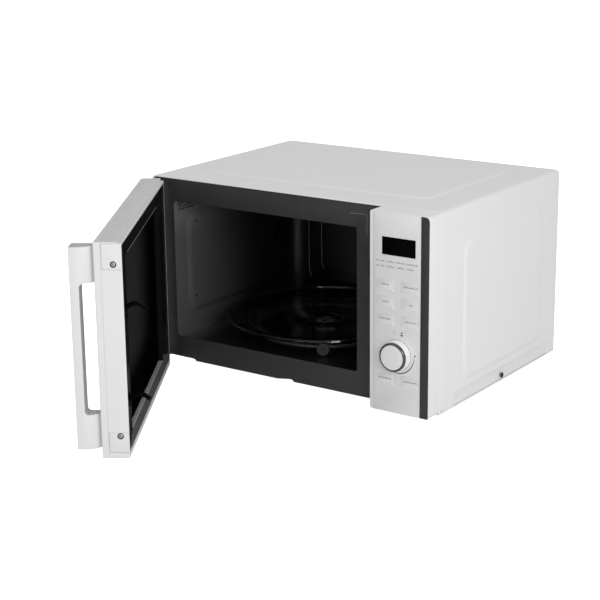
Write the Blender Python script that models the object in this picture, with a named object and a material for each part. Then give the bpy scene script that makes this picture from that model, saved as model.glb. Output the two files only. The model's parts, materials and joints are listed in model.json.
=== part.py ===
"""Countertop microwave oven with its side-hinged door standing open.

Metres, +Z up, front towards -Y. The case's own drawing frame has X = 0 in the middle of
the case, Y = 0 at its front lip and Z = 0 at its underside. The empty named oven carries
everything and puts the origin on the table, in the middle of the footprint.
"""
import math

import bmesh
import bpy
from mathutils import Matrix, Vector

MM = 0.001
GAP = 0.3 * MM
SHEET = 1.0 * MM

# Case
CASE_WIDTH = 440 * MM
CASE_HEIGHT = 251 * MM
CASE_DEPTH = 311 * MM
CASE_CORNER = 6 * MM
FOOT_HEIGHT = 8 * MM
FACE_Y = 5.5 * MM
BACK_Y = 305 * MM

# Cooking chamber: its mouth in the front plate, and the box behind it
MOUTH_X = (-190 * MM, 98.5 * MM)
MOUTH_Z = (33.3 * MM, 218 * MM)
CHAMBER_X = (-200 * MM, 108 * MM)
CHAMBER_Y = (6.8 * MM, 292 * MM)
CHAMBER_Z = (30 * MM, 226 * MM)
WELL_RADIUS = 117 * MM
WELL_FLOOR = 24 * MM
CHAMBER_CORNER = 26 * MM

# Control panel
PANEL_X = (137.9 * MM, 220 * MM)
PANEL_Z = (2.6 * MM, 250.4 * MM)
PANEL_OUT = 27 * MM
FASCIA_X = (138.2 * MM, 208.1 * MM)
STRIP_X = (208.4 * MM, 219.7 * MM)
DISPLAY_X = (155 * MM, 201 * MM)
DISPLAY_Z = (199 * MM, 220.5 * MM)
BUTTON_WIDTH = 25 * MM
BUTTON_HEIGHT = 13 * MM
BUTTON_COLUMNS = (158.6 * MM, 193.2 * MM)
BUTTON_ROWS = (162.5 * MM, 141.3 * MM, 120 * MM, 45.5 * MM)
BUTTON_TRAVEL_ROOM = 1.5 * MM
KNOB_X = 176.5 * MM
KNOB_Z = 76.8 * MM
KNOB_RADIUS = 20.5 * MM
KNOB_RING_RADIUS = 18 * MM

# Door, drawn closed
DOOR_X = (-220 * MM, 136.3 * MM)
DOOR_Z = (-4 * MM, 249.2 * MM)
DOOR_FRONT = -27 * MM
DOOR_BACK = 4.7 * MM
DOOR_WALL = 2.5 * MM
DOOR_OPEN = math.radians(58)
PIVOT_X = -214.5 * MM
PIVOT_Y = -20.5 * MM
PIN_RADIUS = 2.5 * MM
HINGE_ARM = 3.5 * MM
RIM_LEFT = -209.5 * MM
RIM_TOP = 248.1 * MM
POCKET_LEFT = -204 * MM
WINDOW_X = (-168 * MM, 88 * MM)
WINDOW_Z = (42 * MM, 208 * MM)
INNER_X = (-139 * MM, 107 * MM)
INNER_Z = (22 * MM, 228 * MM)
HANDLE_X = (116 * MM, 136 * MM)
HANDLE_Z = (6 * MM, 243.4 * MM)
HANDLE_OUT = -55 * MM
HANDLE_BAR = 10.5 * MM
FINGER_Z = (47.5 * MM, 201 * MM)
HOOK_X = (116.6 * MM, 122.6 * MM)
HOOK_HEIGHTS = (61 * MM, 168 * MM)
HOOK_TIP_Y = 27 * MM
LATCH_SLOT_X = (116.2 * MM, 126 * MM)

# Turntable
TABLE_X = -46 * MM
TABLE_Y = 150 * MM
TABLE_RADIUS = 135 * MM
TABLE_UNDERSIDE = 41.7 * MM
RING_RADIUS = 94 * MM
ROLLER_RADIUS = 8.6 * MM
ROLLER_REACH = 107 * MM
ROLLER_ANGLE = -58

# Fan
FAN_X = 168 * MM
FAN_Z = 160 * MM
FAN_Y = 251 * MM
FAN_RADIUS = 40 * MM


# ---------------------------------------------------------------- outlines and solids

def arc(centre, radius, start, end, steps):
    """Points on a circle between two angles in degrees."""
    points = []
    for i in range(steps + 1):
        angle = math.radians(start + (end - start) * i / steps)
        points.append((centre[0] + radius * math.cos(angle), centre[1] + radius * math.sin(angle)))
    return points


def rectangle(u, v, radius=0.0, steps=4):
    """A rectangle, anticlockwise, with its four corners rounded."""
    if radius == 0.0:
        return [(u[0], v[0]), (u[1], v[0]), (u[1], v[1]), (u[0], v[1])]
    points = arc((u[0] + radius, v[0] + radius), radius, 180, 270, steps)
    points += arc((u[1] - radius, v[0] + radius), radius, 270, 360, steps)
    points += arc((u[1] - radius, v[1] - radius), radius, 0, 90, steps)
    points += arc((u[0] + radius, v[1] - radius), radius, 90, 180, steps)
    return points


def circle(u, v, radius, steps=24):
    return arc((u, v), radius, 0, 360 * (steps - 1) / steps, steps - 1)


def around(value, half):
    return (value - half, value + half)


def inset(span, amount):
    return (span[0] + amount, span[1] - amount)


def on_axis(axis, u, v, height):
    """Outline plane to space: X takes (y, z), Y takes (x, z), Z takes (x, y)."""
    if axis == "X":
        return Vector((height, u, v))
    if axis == "Y":
        return Vector((u, height, v))
    return Vector((u, v, height))


def extruded(outline, axis, low, high):
    """A closed prism: the outline pushed along the axis from low to high."""
    shape = bmesh.new()
    ends = []
    for height in (low, high):
        ends.append([shape.verts.new(on_axis(axis, u, v, height)) for u, v in outline])
    count = len(outline)
    for i in range(count):
        j = (i + 1) % count
        shape.faces.new((ends[0][i], ends[0][j], ends[1][j], ends[1][i]))
    shape.faces.new(ends[0])
    shape.faces.new(ends[1])
    bmesh.ops.recalc_face_normals(shape, faces=shape.faces)
    return shape


def block(x, y, z, radius=0.0, axis="Z"):
    """A box, with the edges along one axis rounded."""
    spans = {"X": (y, z, x), "Y": (x, z, y), "Z": (x, y, z)}[axis]
    return extruded(rectangle(spans[0], spans[1], radius), axis, *spans[2])


def cylinder(u, v, radius, axis, low, high, steps=24):
    return extruded(circle(u, v, radius, steps), axis, low, high)


def turned(profile, axis, u, v, steps=48):
    """A solid of revolution: profile holds (radius, height), and its ends are on the axis or joined."""
    shape = bmesh.new()
    rings = []
    for radius, height in profile:
        if radius == 0.0:
            ring = [shape.verts.new(on_axis(axis, u, v, height))] * steps
        else:
            points = circle(u, v, radius, steps)
            ring = [shape.verts.new(on_axis(axis, a, b, height)) for a, b in points]
        rings.append(ring)
    for lower, upper in zip(rings, rings[1:] + rings[:1]):
        for i in range(steps):
            j = (i + 1) % steps
            corners = list(dict.fromkeys((lower[i], lower[j], upper[j], upper[i])))
            if len(corners) > 2:
                shape.faces.new(corners)
    bmesh.ops.recalc_face_normals(shape, faces=shape.faces)
    return shape


# ---------------------------------------------------------------- objects

def empty(name, parent=None, location=(0, 0, 0), rotation=0.0):
    frame = bpy.data.objects.new(name, None)
    frame.location = location
    frame.rotation_euler = (0, 0, rotation)
    frame.parent = parent
    bpy.context.scene.collection.objects.link(frame)
    return frame


def material(name, colour, roughness, metallic=0.0):
    finish = bpy.data.materials.new(name)
    finish.use_nodes = True
    shader = finish.node_tree.nodes["Principled BSDF"]
    shader.inputs["Base Color"].default_value = (*colour, 1)
    shader.inputs["Roughness"].default_value = roughness
    shader.inputs["Metallic"].default_value = metallic
    return finish


def origin_of(parent):
    """Where a parent empty stands in the case's drawing frame."""
    return Vector(parent.get("drawn_at", (0, 0, 0)))


def solid(name, shape, parent, finish, origin=None):
    """Make an object from a shape in the drawing frame, with its origin where asked."""
    base = origin_of(parent)
    place = base if origin is None else Vector(origin)
    bmesh.ops.translate(shape, verts=shape.verts, vec=-place)
    mesh = bpy.data.meshes.new(name)
    shape.to_mesh(mesh)
    shape.free()
    mesh.shade_smooth()
    mesh.set_sharp_from_angle(angle=math.radians(35))
    piece = bpy.data.objects.new(name, mesh)
    piece.location = place - base
    piece.parent = parent
    if finish is not None:
        mesh.materials.append(material(name, *finish))
    bpy.context.scene.collection.objects.link(piece)
    return piece


def boolean(piece, operation, shapes):
    """Add or take away shapes that share the piece's parent."""
    for number, shape in enumerate(shapes):
        tool = solid(f"{piece.name}_{operation.lower()}_{number}", shape, piece.parent, None)
        tool.hide_render = True
        tool.display_type = "WIRE"
        step = piece.modifiers.new(tool.name, "BOOLEAN")
        step.operation = operation
        step.object = tool
        step.solver = "EXACT"
    return piece


def cut(piece, *shapes):
    return boolean(piece, "DIFFERENCE", shapes)


def join(piece, *shapes):
    return boolean(piece, "UNION", shapes)


# Finishes: colour, roughness, metallic
WHITE_PAINT = ((0.72, 0.72, 0.72), 0.38)
WHITE_PLASTIC = ((0.80, 0.80, 0.80), 0.35)
SILVER = ((0.55, 0.56, 0.57), 0.35, 0.6)
DARK_ENAMEL = ((0.045, 0.045, 0.048), 0.35)
BLACK_PLASTIC = ((0.012, 0.012, 0.013), 0.30)
BLACK_GLASS = ((0.006, 0.006, 0.007), 0.06)
CLEAR_GLASS = ((0.35, 0.38, 0.38), 0.05)
STEEL = ((0.55, 0.55, 0.56), 0.40, 1.0)
CHROME = ((0.75, 0.75, 0.76), 0.12, 1.0)
GALVANISED = ((0.45, 0.47, 0.48), 0.50, 0.9)
DARK_RUBBER = ((0.02, 0.02, 0.02), 0.70)
GREY_PLASTIC = ((0.45, 0.45, 0.46), 0.45)
COPPER = ((0.55, 0.25, 0.12), 0.40, 0.9)
BOARD_GREEN = ((0.03, 0.12, 0.05), 0.50)
MICA = ((0.42, 0.36, 0.25), 0.55)


# ---------------------------------------------------------------- case

def case_outline():
    """Section of the wrapped sheet: two sides, the top and a narrow flange under each side."""
    half = CASE_WIDTH / 2
    flange = 10 * MM
    top = CASE_HEIGHT
    corner = CASE_CORNER
    bend = 2 * MM
    outer = [(-half + flange, 0)] + arc((-half + bend, bend), bend, 270, 180, 3)
    outer += arc((-half + corner, top - corner), corner, 180, 90, 6)
    outer += arc((half - corner, top - corner), corner, 90, 0, 6)
    outer += arc((half - bend, bend), bend, 360, 270, 3) + [(half - flange, 0)]
    inner = [(half - flange, SHEET)] + arc((half - bend, bend), bend - SHEET, 270, 360, 3)
    inner += arc((half - corner, top - corner), corner - SHEET, 0, 90, 6)
    inner += arc((-half + corner, top - corner), corner - SHEET, 90, 180, 6)
    inner += arc((-half + bend, bend), bend - SHEET, 180, 270, 3) + [(-half + flange, SHEET)]
    return outer + inner


def make_case(root):
    cabinet = solid("cabinet", extruded(case_outline(), "Y", 0, CASE_DEPTH), root, WHITE_PAINT)
    cut(cabinet, cylinder(SIDE_SCREW_Y, SIDE_SCREW_Z, 2 * MM, "X", 215 * MM, 225 * MM, 12))
    inside = inset(around(0, CASE_WIDTH / 2), 1.5 * MM)
    solid("base_plate", block(inside, (7 * MM, 304 * MM), (1.3 * MM, 2.3 * MM)), root, GALVANISED)
    sheet_y = (BACK_Y, BACK_Y + SHEET)
    sheet = block(inside, sheet_y, (2.6 * MM, 249.5 * MM), CASE_CORNER, "Y")
    back = solid("back_panel", sheet, root, WHITE_PAINT)
    louvres = []
    for column in range(2):
        for row in range(7):
            x = (95 + 52 * column) * MM
            z = (150 + 10 * row) * MM
            slot = rectangle((x, x + 44 * MM), (z, z + 4 * MM), 1.9 * MM, 2)
            louvres.append(extruded(slot, "Y", BACK_Y - 2 * MM, BACK_Y + 3 * MM))
    cut(back, *louvres, cylinder(GLAND_X, GLAND_Z, 6.4 * MM, "Y", BACK_Y - 2 * MM, BACK_Y + 3 * MM))


def make_feet(root):
    top = 1.0 * MM
    profile = [(0, -FOOT_HEIGHT), (9.5 * MM, -FOOT_HEIGHT), (10.5 * MM, -7 * MM), (12 * MM, top), (0, top)]
    for side, x in (("left", -180 * MM), ("right", 180 * MM)):
        for end, y in (("front", 42 * MM), ("rear", 268 * MM)):
            solid(f"foot_{end}_{side}", turned(profile, "Z", x, y, 20), root, DARK_RUBBER, (x, y, 0))


SIDE_SCREW_Y = 160 * MM
SIDE_SCREW_Z = 7.7 * MM
GLAND_X = 188 * MM
GLAND_Z = 34 * MM


def make_fittings(root):
    side = CASE_WIDTH / 2
    head = [(0, side + 1.6 * MM), (2.4 * MM, side + 1.6 * MM)]
    head += [(3.7 * MM, side + 0.8 * MM), (3.7 * MM, side + GAP)]
    shank = [(1.6 * MM, side + GAP), (1.6 * MM, side - 7 * MM), (0, side - 7 * MM)]
    screw = turned(head + shank, "X", SIDE_SCREW_Y, SIDE_SCREW_Z, 16)
    solid("side_screw", screw, root, STEEL)
    face = BACK_Y + SHEET + GAP
    gland = [(3.6 * MM, BACK_Y - 9 * MM), (6 * MM, BACK_Y - 9 * MM), (6 * MM, face), (9 * MM, face)]
    gland += [(8 * MM, face + 4 * MM), (3.6 * MM, face + 4 * MM)]
    solid("cord_gland", turned(gland, "Y", GLAND_X, GLAND_Z, 20), root, DARK_RUBBER)


# ---------------------------------------------------------------- chamber

def slot_spans():
    """X and Z spans of the two latch slots in the front plate."""
    return [(LATCH_SLOT_X, around(height + 1 * MM, 11 * MM)) for height in HOOK_HEIGHTS]


def make_chamber(root):
    plate_y = (FACE_Y, FACE_Y + SHEET)
    reach = (plate_y[0] - 2 * MM, plate_y[1] + 2 * MM)
    sheet = block((-218.5 * MM, 136.9 * MM), plate_y, (1.5 * MM, 249.5 * MM), CASE_CORNER, "Y")
    plate = solid("front_plate", sheet, root, DARK_ENAMEL)
    cut(plate, extruded(rectangle(MOUTH_X, MOUTH_Z, 4 * MM), "Y", *reach))
    cut(plate, *[block(x, reach, z) for x, z in slot_spans()])

    outer_x = inset(CHAMBER_X, -SHEET)
    outer_z = inset(CHAMBER_Z, -SHEET)
    front = CHAMBER_Y[0]
    back = CHAMBER_Y[1]
    shell = chamber_box(outer_x, (front, back + SHEET), outer_z, SHEET)
    liner = solid("cavity_liner", shell, root, DARK_ENAMEL)
    well = (WELL_FLOOR - SHEET, CHAMBER_Z[0] - SHEET / 2)
    join(liner, cylinder(TABLE_X, TABLE_Y, WELL_RADIUS + SHEET, "Z", *well, 64))
    cut(liner, chamber_box(CHAMBER_X, (front - 5 * MM, back), CHAMBER_Z, 0))
    cut(liner, cylinder(TABLE_X, TABLE_Y, WELL_RADIUS, "Z", WELL_FLOOR, CHAMBER_Z[0] + 3 * MM, 64))
    floor = (WELL_FLOOR - 3 * MM, WELL_FLOOR + 3 * MM)
    cut(liner, cylinder(TABLE_X, TABLE_Y, 8 * MM, "Z", *floor, 16))
    wall = (CHAMBER_X[1] - 3 * MM, CHAMBER_X[1] + 3 * MM)
    cut(liner, block(wall, (112 * MM, 188 * MM), (132 * MM, 188 * MM)))
    cut(liner, block(wall, (48 * MM, 72 * MM), (196 * MM, 214 * MM)))
    cover_x = (CHAMBER_X[1] - 0.9 * MM, CHAMBER_X[1] - GAP)
    solid("mica_cover", block(cover_x, (102 * MM, 198 * MM), (122 * MM, 198 * MM), 6 * MM, "X"), root, MICA)


def chamber_box(x, y, z, extra):
    """The chamber's box, square at its mouth, with rounded upright corners at the back."""
    corner = CHAMBER_CORNER + extra
    outline = [(x[0], y[0]), (x[1], y[0])]
    outline += arc((x[1] - corner, y[1] - corner), corner, 0, 90, 5)
    outline += arc((x[0] + corner, y[1] - corner), corner, 90, 180, 5)
    return extruded(outline, "Z", *z)


# ---------------------------------------------------------------- control panel

def button_places():
    """Name and centre of each push button, top row first."""
    places = []
    for row, z in enumerate(BUTTON_ROWS, 1):
        for column, x in zip("ab", BUTTON_COLUMNS):
            places.append((f"button_{column}{row}", x, z))
    return places


def button_holes(y, margin):
    width = BUTTON_WIDTH / 2 + margin
    height = BUTTON_HEIGHT / 2 + margin
    return [block(around(x, width), y, around(z, height)) for _, x, z in button_places()]


def make_panel(root):
    face = -PANEL_OUT
    wall = face + 0.9 * MM
    bezel = solid("control_bezel", block(PANEL_X, (wall, -GAP), PANEL_Z, 3 * MM, "Y"), root, WHITE_PLASTIC)
    nested = block((140 * MM, 218 * MM), (-2 * MM, 5 * MM), (4 * MM, 248.5 * MM), 3 * MM, "Y")
    join(bezel, nested)
    hollow = block((142.5 * MM, 215.5 * MM), (wall + 3 * MM, 9 * MM), (6.5 * MM, 246 * MM), 2 * MM, "Y")
    through = (wall - 2 * MM, wall + 5 * MM)
    cut(bezel, hollow, block(inset(DISPLAY_X, -GAP), through, inset(DISPLAY_Z, -GAP)))
    cut(bezel, *button_holes(through, 0.4 * MM), cylinder(KNOB_X, KNOB_Z, 4.5 * MM, "Y", *through))

    skin = (face, face + 0.6 * MM)
    reach = (face - 2 * MM, face + 0.8 * MM)
    strip_z = inset(PANEL_Z, 0.4 * MM)
    fascia = solid("control_fascia", block(FASCIA_X, skin, strip_z, 1 * MM, "Y"), root, SILVER)
    cut(fascia, block(inset(DISPLAY_X, -GAP), reach, inset(DISPLAY_Z, -GAP)))
    cut(fascia, *button_holes(reach, 0.3 * MM), cylinder(KNOB_X, KNOB_Z, 4.5 * MM, "Y", *reach))

    corner = 6 * MM
    outline = [(STRIP_X[0], strip_z[0]), (STRIP_X[1], strip_z[0])]
    outline += arc((STRIP_X[1] - corner, strip_z[1] - corner), corner, 0, 90, 5) + [(STRIP_X[0], strip_z[1])]
    solid("trim_strip", extruded(outline, "Y", *skin), root, DARK_ENAMEL)
    solid("display_window", block(DISPLAY_X, (face, face + 4.5 * MM), DISPLAY_Z), root, BLACK_GLASS)

    board_y = (-12 * MM, -10.4 * MM)
    solid("control_board", block((146 * MM, 212 * MM), board_y, (18 * MM, 236 * MM)), root, BOARD_GREEN)
    encoder_y = (-21 * MM, board_y[0] - GAP)
    half = 6.5 * MM
    body = block(around(KNOB_X, half), encoder_y, around(KNOB_Z, half))
    encoder = solid("encoder", body, root, GREY_PLASTIC)
    cut(encoder, cylinder(KNOB_X, KNOB_Z, 3.3 * MM, "Y", encoder_y[0] - 2 * MM, encoder_y[1] - 1.5 * MM))


def make_buttons(root):
    face = -PANEL_OUT
    stop = face + 0.9 * MM + 3 * MM + GAP
    for name, x, z in button_places():
        cap_x = around(x, BUTTON_WIDTH / 2)
        cap_z = around(z, BUTTON_HEIGHT / 2)
        cap = block(cap_x, (face - 0.2 * MM, stop + 1 * MM), cap_z)
        button = solid(name, cap, root, SILVER, (x, face, z))
        foot = block(inset(cap_x, -1 * MM), (stop, stop + 2 * MM), inset(cap_z, -1 * MM))
        stem = block(around(x, 2 * MM), (stop + 1 * MM, -12 * MM - BUTTON_TRAVEL_ROOM), around(z, 2 * MM))
        join(button, foot, stem)


def make_knob(root):
    base = -PANEL_OUT - GAP
    axis = (KNOB_X, base, KNOB_Z)
    radius = KNOB_RADIUS
    groove = base - 8.5 * MM
    profile = [(0, -14.2 * MM), (3 * MM, -14.2 * MM), (3 * MM, base), (radius, base)]
    profile += [(radius, base - 2 * MM), (radius - 1.6 * MM, groove), (radius - 5.2 * MM, groove)]
    profile += [(radius - 5.2 * MM, base - 11.4 * MM), (radius - 6.2 * MM, base - 12.2 * MM)]
    profile += [(0, base - 12.6 * MM)]
    solid("knob_body", turned(profile, "Y", KNOB_X, KNOB_Z, 40), root, WHITE_PLASTIC, axis)
    inner = radius - 4.9 * MM
    outer = KNOB_RING_RADIUS
    top = groove - GAP
    ring = [(inner, top), (outer, top), (outer - 0.4 * MM, top - 2.4 * MM)]
    ring += [(inner + 0.6 * MM, top - 3.4 * MM), (inner, top - 3 * MM)]
    solid("knob_ring", turned(ring, "Y", KNOB_X, KNOB_Z, 40), root, CHROME, axis)


# ---------------------------------------------------------------- door

def frame_outline():
    """The door moulding seen from above the closed door.

    Its rear left corner is an arc about the hinge pins, so it clears the case at every angle.
    """
    left = DOOR_X[0]
    right = DOOR_X[1]
    seam = -GAP
    reach = seam - PIVOT_Y
    corner = 90 + math.degrees(math.asin((PIVOT_X - left) / reach))
    points = arc((left + 6 * MM, DOOR_FRONT + 6 * MM), 6 * MM, 180, 270, 4)
    points += arc((right - 1.5 * MM, DOOR_FRONT + 1.5 * MM), 1.5 * MM, 270, 360, 2)
    points += [(right, DOOR_BACK), (RIM_LEFT, DOOR_BACK), (RIM_LEFT, seam)]
    points += arc((PIVOT_X, PIVOT_Y), reach, 90, corner, 3)
    return points


def make_door_frame(door):
    frame = solid("door_frame", extruded(frame_outline(), "Z", *DOOR_Z), door, WHITE_PLASTIC)
    wall = DOOR_WALL
    wide = (-230 * MM, 150 * MM)
    cut(frame, block(wide, (-GAP, 9 * MM), (RIM_TOP, 260 * MM)))
    pocket_x = (POCKET_LEFT, DOOR_X[1] - wall)
    cut(frame, block(pocket_x, (DOOR_FRONT + wall, 9 * MM), (5 * MM, 244.8 * MM), 2 * MM, "Y"))
    cut(frame, block(WINDOW_X, (DOOR_FRONT - 3 * MM, 0), WINDOW_Z, 5 * MM, "Y"))
    notch_x = (-225 * MM, PIVOT_X + HINGE_ARM + 1 * MM)
    notch_y = (PIVOT_Y - HINGE_ARM - 1.2 * MM, 9 * MM)
    for arm, pin_end in HINGES:
        low = min(arm[0], arm[1]) - 0.6 * MM
        high = max(arm[0], arm[1]) + 0.6 * MM
        cut(frame, block(notch_x, notch_y, (low, high)))
        socket = sorted((pin_end + math.copysign(1 * MM, pin_end - arm[0]), arm[0]))
        cut(frame, cylinder(PIVOT_X, PIVOT_Y, PIN_RADIUS + 0.4 * MM, "Z", *socket))
    side = DOOR_X[1]
    for plate_z, screw_z in CORNER_PLATES:
        cut(frame, block((side - 0.9 * MM, side + 5 * MM), (-18.3 * MM, 9 * MM), inset(plate_z, -GAP)))
        cut(frame, cylinder(SCREW_Y, screw_z, 1.8 * MM, "X", side - 5 * MM, side + 5 * MM, 12))


# Each hinge arm's Z span, the pin's face first, and the height at which its pin ends
HINGES = (((241 * MM, 243 * MM), 230 * MM), ((9 * MM, 7 * MM), 20 * MM))
# Each corner plate's Z span on the door's free end, and its screw's height
CORNER_PLATES = (((217.6 * MM, 246.8 * MM), 223.5 * MM), ((3.4 * MM, 26.9 * MM), 23 * MM))
SCREW_Y = -5.1 * MM


def make_hinges(root):
    arm_x = around(PIVOT_X, HINGE_ARM)
    wall_y = (3.2 * MM, FACE_Y - GAP)
    outline = arc((PIVOT_X, PIVOT_Y), HINGE_ARM, 180, 360, 8)
    outline += [(arm_x[1], wall_y[1]), (arm_x[0], wall_y[1])]
    for name, (arm, pin_end) in zip(("upper_hinge", "lower_hinge"), HINGES):
        bracket = solid(name, extruded(outline, "Z", *sorted(arm)), root, GALVANISED)
        far_end = arm[0] + (pin_end - arm[0]) * 2.2
        flange = block((-218.2 * MM, -211 * MM), wall_y, sorted((arm[1], far_end)))
        pin = cylinder(PIVOT_X, PIVOT_Y, PIN_RADIUS, "Z", *sorted(((arm[0] + arm[1]) / 2, pin_end)), 20)
        join(bracket, flange, pin)


def make_door_panes(door):
    glass_y = around(DOOR_FRONT + DOOR_WALL + 1.8 * MM, 1.5 * MM)
    glass = block(inset(WINDOW_X, -3 * MM), glass_y, inset(WINDOW_Z, -3 * MM), 6 * MM, "Y")
    solid("door_glass", glass, door, BLACK_GLASS)

    plate_x = (POCKET_LEFT + 0.5 * MM, DOOR_X[1] - DOOR_WALL - 0.7 * MM)
    plate_z = (6 * MM, 243.8 * MM)
    plate_y = (-10 * MM, -2 * MM)
    pan = solid("door_plate", block(plate_x, plate_y, plate_z, 4 * MM, "Y"), door, GALVANISED)
    floor = (plate_y[0] + SHEET, plate_y[1] + 3 * MM)
    cut(pan, block(inset(plate_x, SHEET), floor, inset(plate_z, SHEET), 3 * MM, "Y"))
    slot_x = around(sum(HOOK_X) / 2, 5.5 * MM)
    slots = [around(height + 1 * MM, 9 * MM) for height in HOOK_HEIGHTS]
    cut(pan, *[block(slot_x, (-14 * MM, -6 * MM), z) for z in slots])

    choke_y = (-1.7 * MM, DOOR_BACK - 0.4 * MM)
    choke_x = inset((POCKET_LEFT, DOOR_X[1] - DOOR_WALL), GAP)
    cover = block(choke_x, choke_y, (5.3 * MM, 244.5 * MM), 2 * MM, "Y")
    choke = solid("door_choke", cover, door, BLACK_PLASTIC)
    cut(choke, block(INNER_X, (-4 * MM, 9 * MM), INNER_Z, 6 * MM, "Y"))
    cut(choke, *[block(slot_x, (-4 * MM, 9 * MM), z) for z in slots])
    pane = block(inset(INNER_X, GAP), (-1.5 * MM, 1.5 * MM), inset(INNER_Z, GAP), 6 * MM, "Y")
    solid("inner_window", pane, door, BLACK_GLASS)


def make_handle(door):
    cove = 5 * MM
    outline = [(HANDLE_X[0], DOOR_FRONT - GAP)]
    outline += arc((HANDLE_X[0] + 2 * MM, HANDLE_OUT + 2 * MM), 2 * MM, 180, 270, 3)
    outline += arc((HANDLE_X[1] - 1 * MM, HANDLE_OUT + 1 * MM), 1 * MM, 270, 360, 2)
    outline += arc((HANDLE_X[1] + 0.5 * MM, DOOR_FRONT - 4 * MM), cove, 235, 180, 4)
    outline += [(HANDLE_X[1] - cove + 0.5 * MM, DOOR_FRONT - GAP)]
    handle = solid("handle", extruded(outline, "Z", *HANDLE_Z), door, WHITE_PLASTIC)
    gap_y = (HANDLE_OUT + HANDLE_BAR, DOOR_FRONT + 5 * MM)
    gap_x = (HANDLE_X[0] - 5 * MM, HANDLE_X[1] + 5 * MM)
    cut(handle, block(gap_x, gap_y, FINGER_Z, 4 * MM, "X"))


def make_door_fixings(door):
    side = DOOR_X[1]
    for name, (plate_z, screw_z) in zip(("top", "bottom"), CORNER_PLATES):
        plate_x = (side - 0.6 * MM, side)
        sheet = block(plate_x, (-18 * MM, DOOR_BACK), plate_z)
        plate = solid(f"corner_plate_{name}", sheet, door, WHITE_PLASTIC)
        cut(plate, cylinder(SCREW_Y, screw_z, 1.8 * MM, "X", side - 2 * MM, side + 2 * MM, 12))
        profile = [(0, side + 0.9 * MM), (2.2 * MM, side + 0.9 * MM), (3.6 * MM, side + GAP)]
        profile += [(1.5 * MM, side + GAP), (1.5 * MM, side - 2.4 * MM), (0, side - 2.4 * MM)]
        solid(f"door_screw_{name}", turned(profile, "X", SCREW_Y, screw_z, 16), door, STEEL)


def hook_outline(height):
    """Side view of one latch hook: an arm that arches over to a tip pointing down."""
    root_y = -14 * MM
    tip = HOOK_TIP_Y
    points = [(root_y, height - 3.5 * MM), (6 * MM, height - 1.5 * MM), (13 * MM, height + 2 * MM)]
    points += [(tip - 6 * MM, height - 1 * MM), (tip - 3.5 * MM, height - 5 * MM), (tip, height - 4 * MM)]
    points += [(tip - 2 * MM, height + 2 * MM), (tip - 9 * MM, height + 7 * MM), (12 * MM, height + 8 * MM)]
    points += [(4 * MM, height + 5.5 * MM), (root_y, height + 3.5 * MM)]
    return points


def make_latch(door):
    origin = (sum(HOOK_X) / 2, -16 * MM, sum(HOOK_HEIGHTS) / 2)
    bar = block(HOOK_X, (-19 * MM, -13 * MM), (HOOK_HEIGHTS[0] - 16 * MM, HOOK_HEIGHTS[1] + 16 * MM))
    slider = solid("latch_slider", bar, door, BLACK_PLASTIC, origin)
    join(slider, *[extruded(hook_outline(height), "X", *HOOK_X) for height in HOOK_HEIGHTS])


# ---------------------------------------------------------------- turntable

def make_turntable(root):
    """The coupler and the glass tray, which turn together on an empty at their axis."""
    drawn_at = (TABLE_X, TABLE_Y, WELL_FLOOR)
    axis = empty("turntable_axis", root, drawn_at)
    axis["drawn_at"] = drawn_at
    base = TABLE_UNDERSIDE
    radius = TABLE_RADIUS
    underside = [(0, base), (98 * MM, base), (112 * MM, base + 0.6 * MM)]
    underside += [(120 * MM, base + 3.4 * MM), (radius - 3 * MM, base + 7.6 * MM), (radius, base + 8.6 * MM)]
    top = [(radius, base + 10.6 * MM), (radius - 4.6 * MM, base + 10.6 * MM), (118 * MM, base + 7.6 * MM)]
    top += [(110 * MM, base + 4.8 * MM), (96 * MM, base + 4 * MM), (0, base + 4 * MM)]
    glass = solid("turntable_glass", turned(underside + top, "Z", TABLE_X, TABLE_Y, 64), axis, CLEAR_GLASS)
    lugs = []
    for turn in range(3):
        angle = math.radians(60 + 120 * turn)
        x = TABLE_X + 13.5 * MM * math.cos(angle)
        y = TABLE_Y + 13.5 * MM * math.sin(angle)
        lugs.append(cylinder(x, y, 3 * MM, "Z", base - 5 * MM, base + 1 * MM, 12))
    join(glass, *lugs)
    lobes = extruded(lobed_outline(), "Z", 26 * MM, base - 0.4 * MM)
    coupler = solid("drive_coupler", lobes, axis, GREY_PLASTIC)
    join(coupler, cylinder(TABLE_X, TABLE_Y, 4 * MM, "Z", 21.3 * MM, 27 * MM, 16))


def lobed_outline():
    """Three rounded lobes around the turntable's axis."""
    points = []
    for i in range(36):
        angle = math.radians(10 * i)
        radius = (10.5 + 4.5 * math.cos(3 * angle)) * MM
        points.append((TABLE_X + radius * math.cos(angle), TABLE_Y + radius * math.sin(angle)))
    return points


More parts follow.
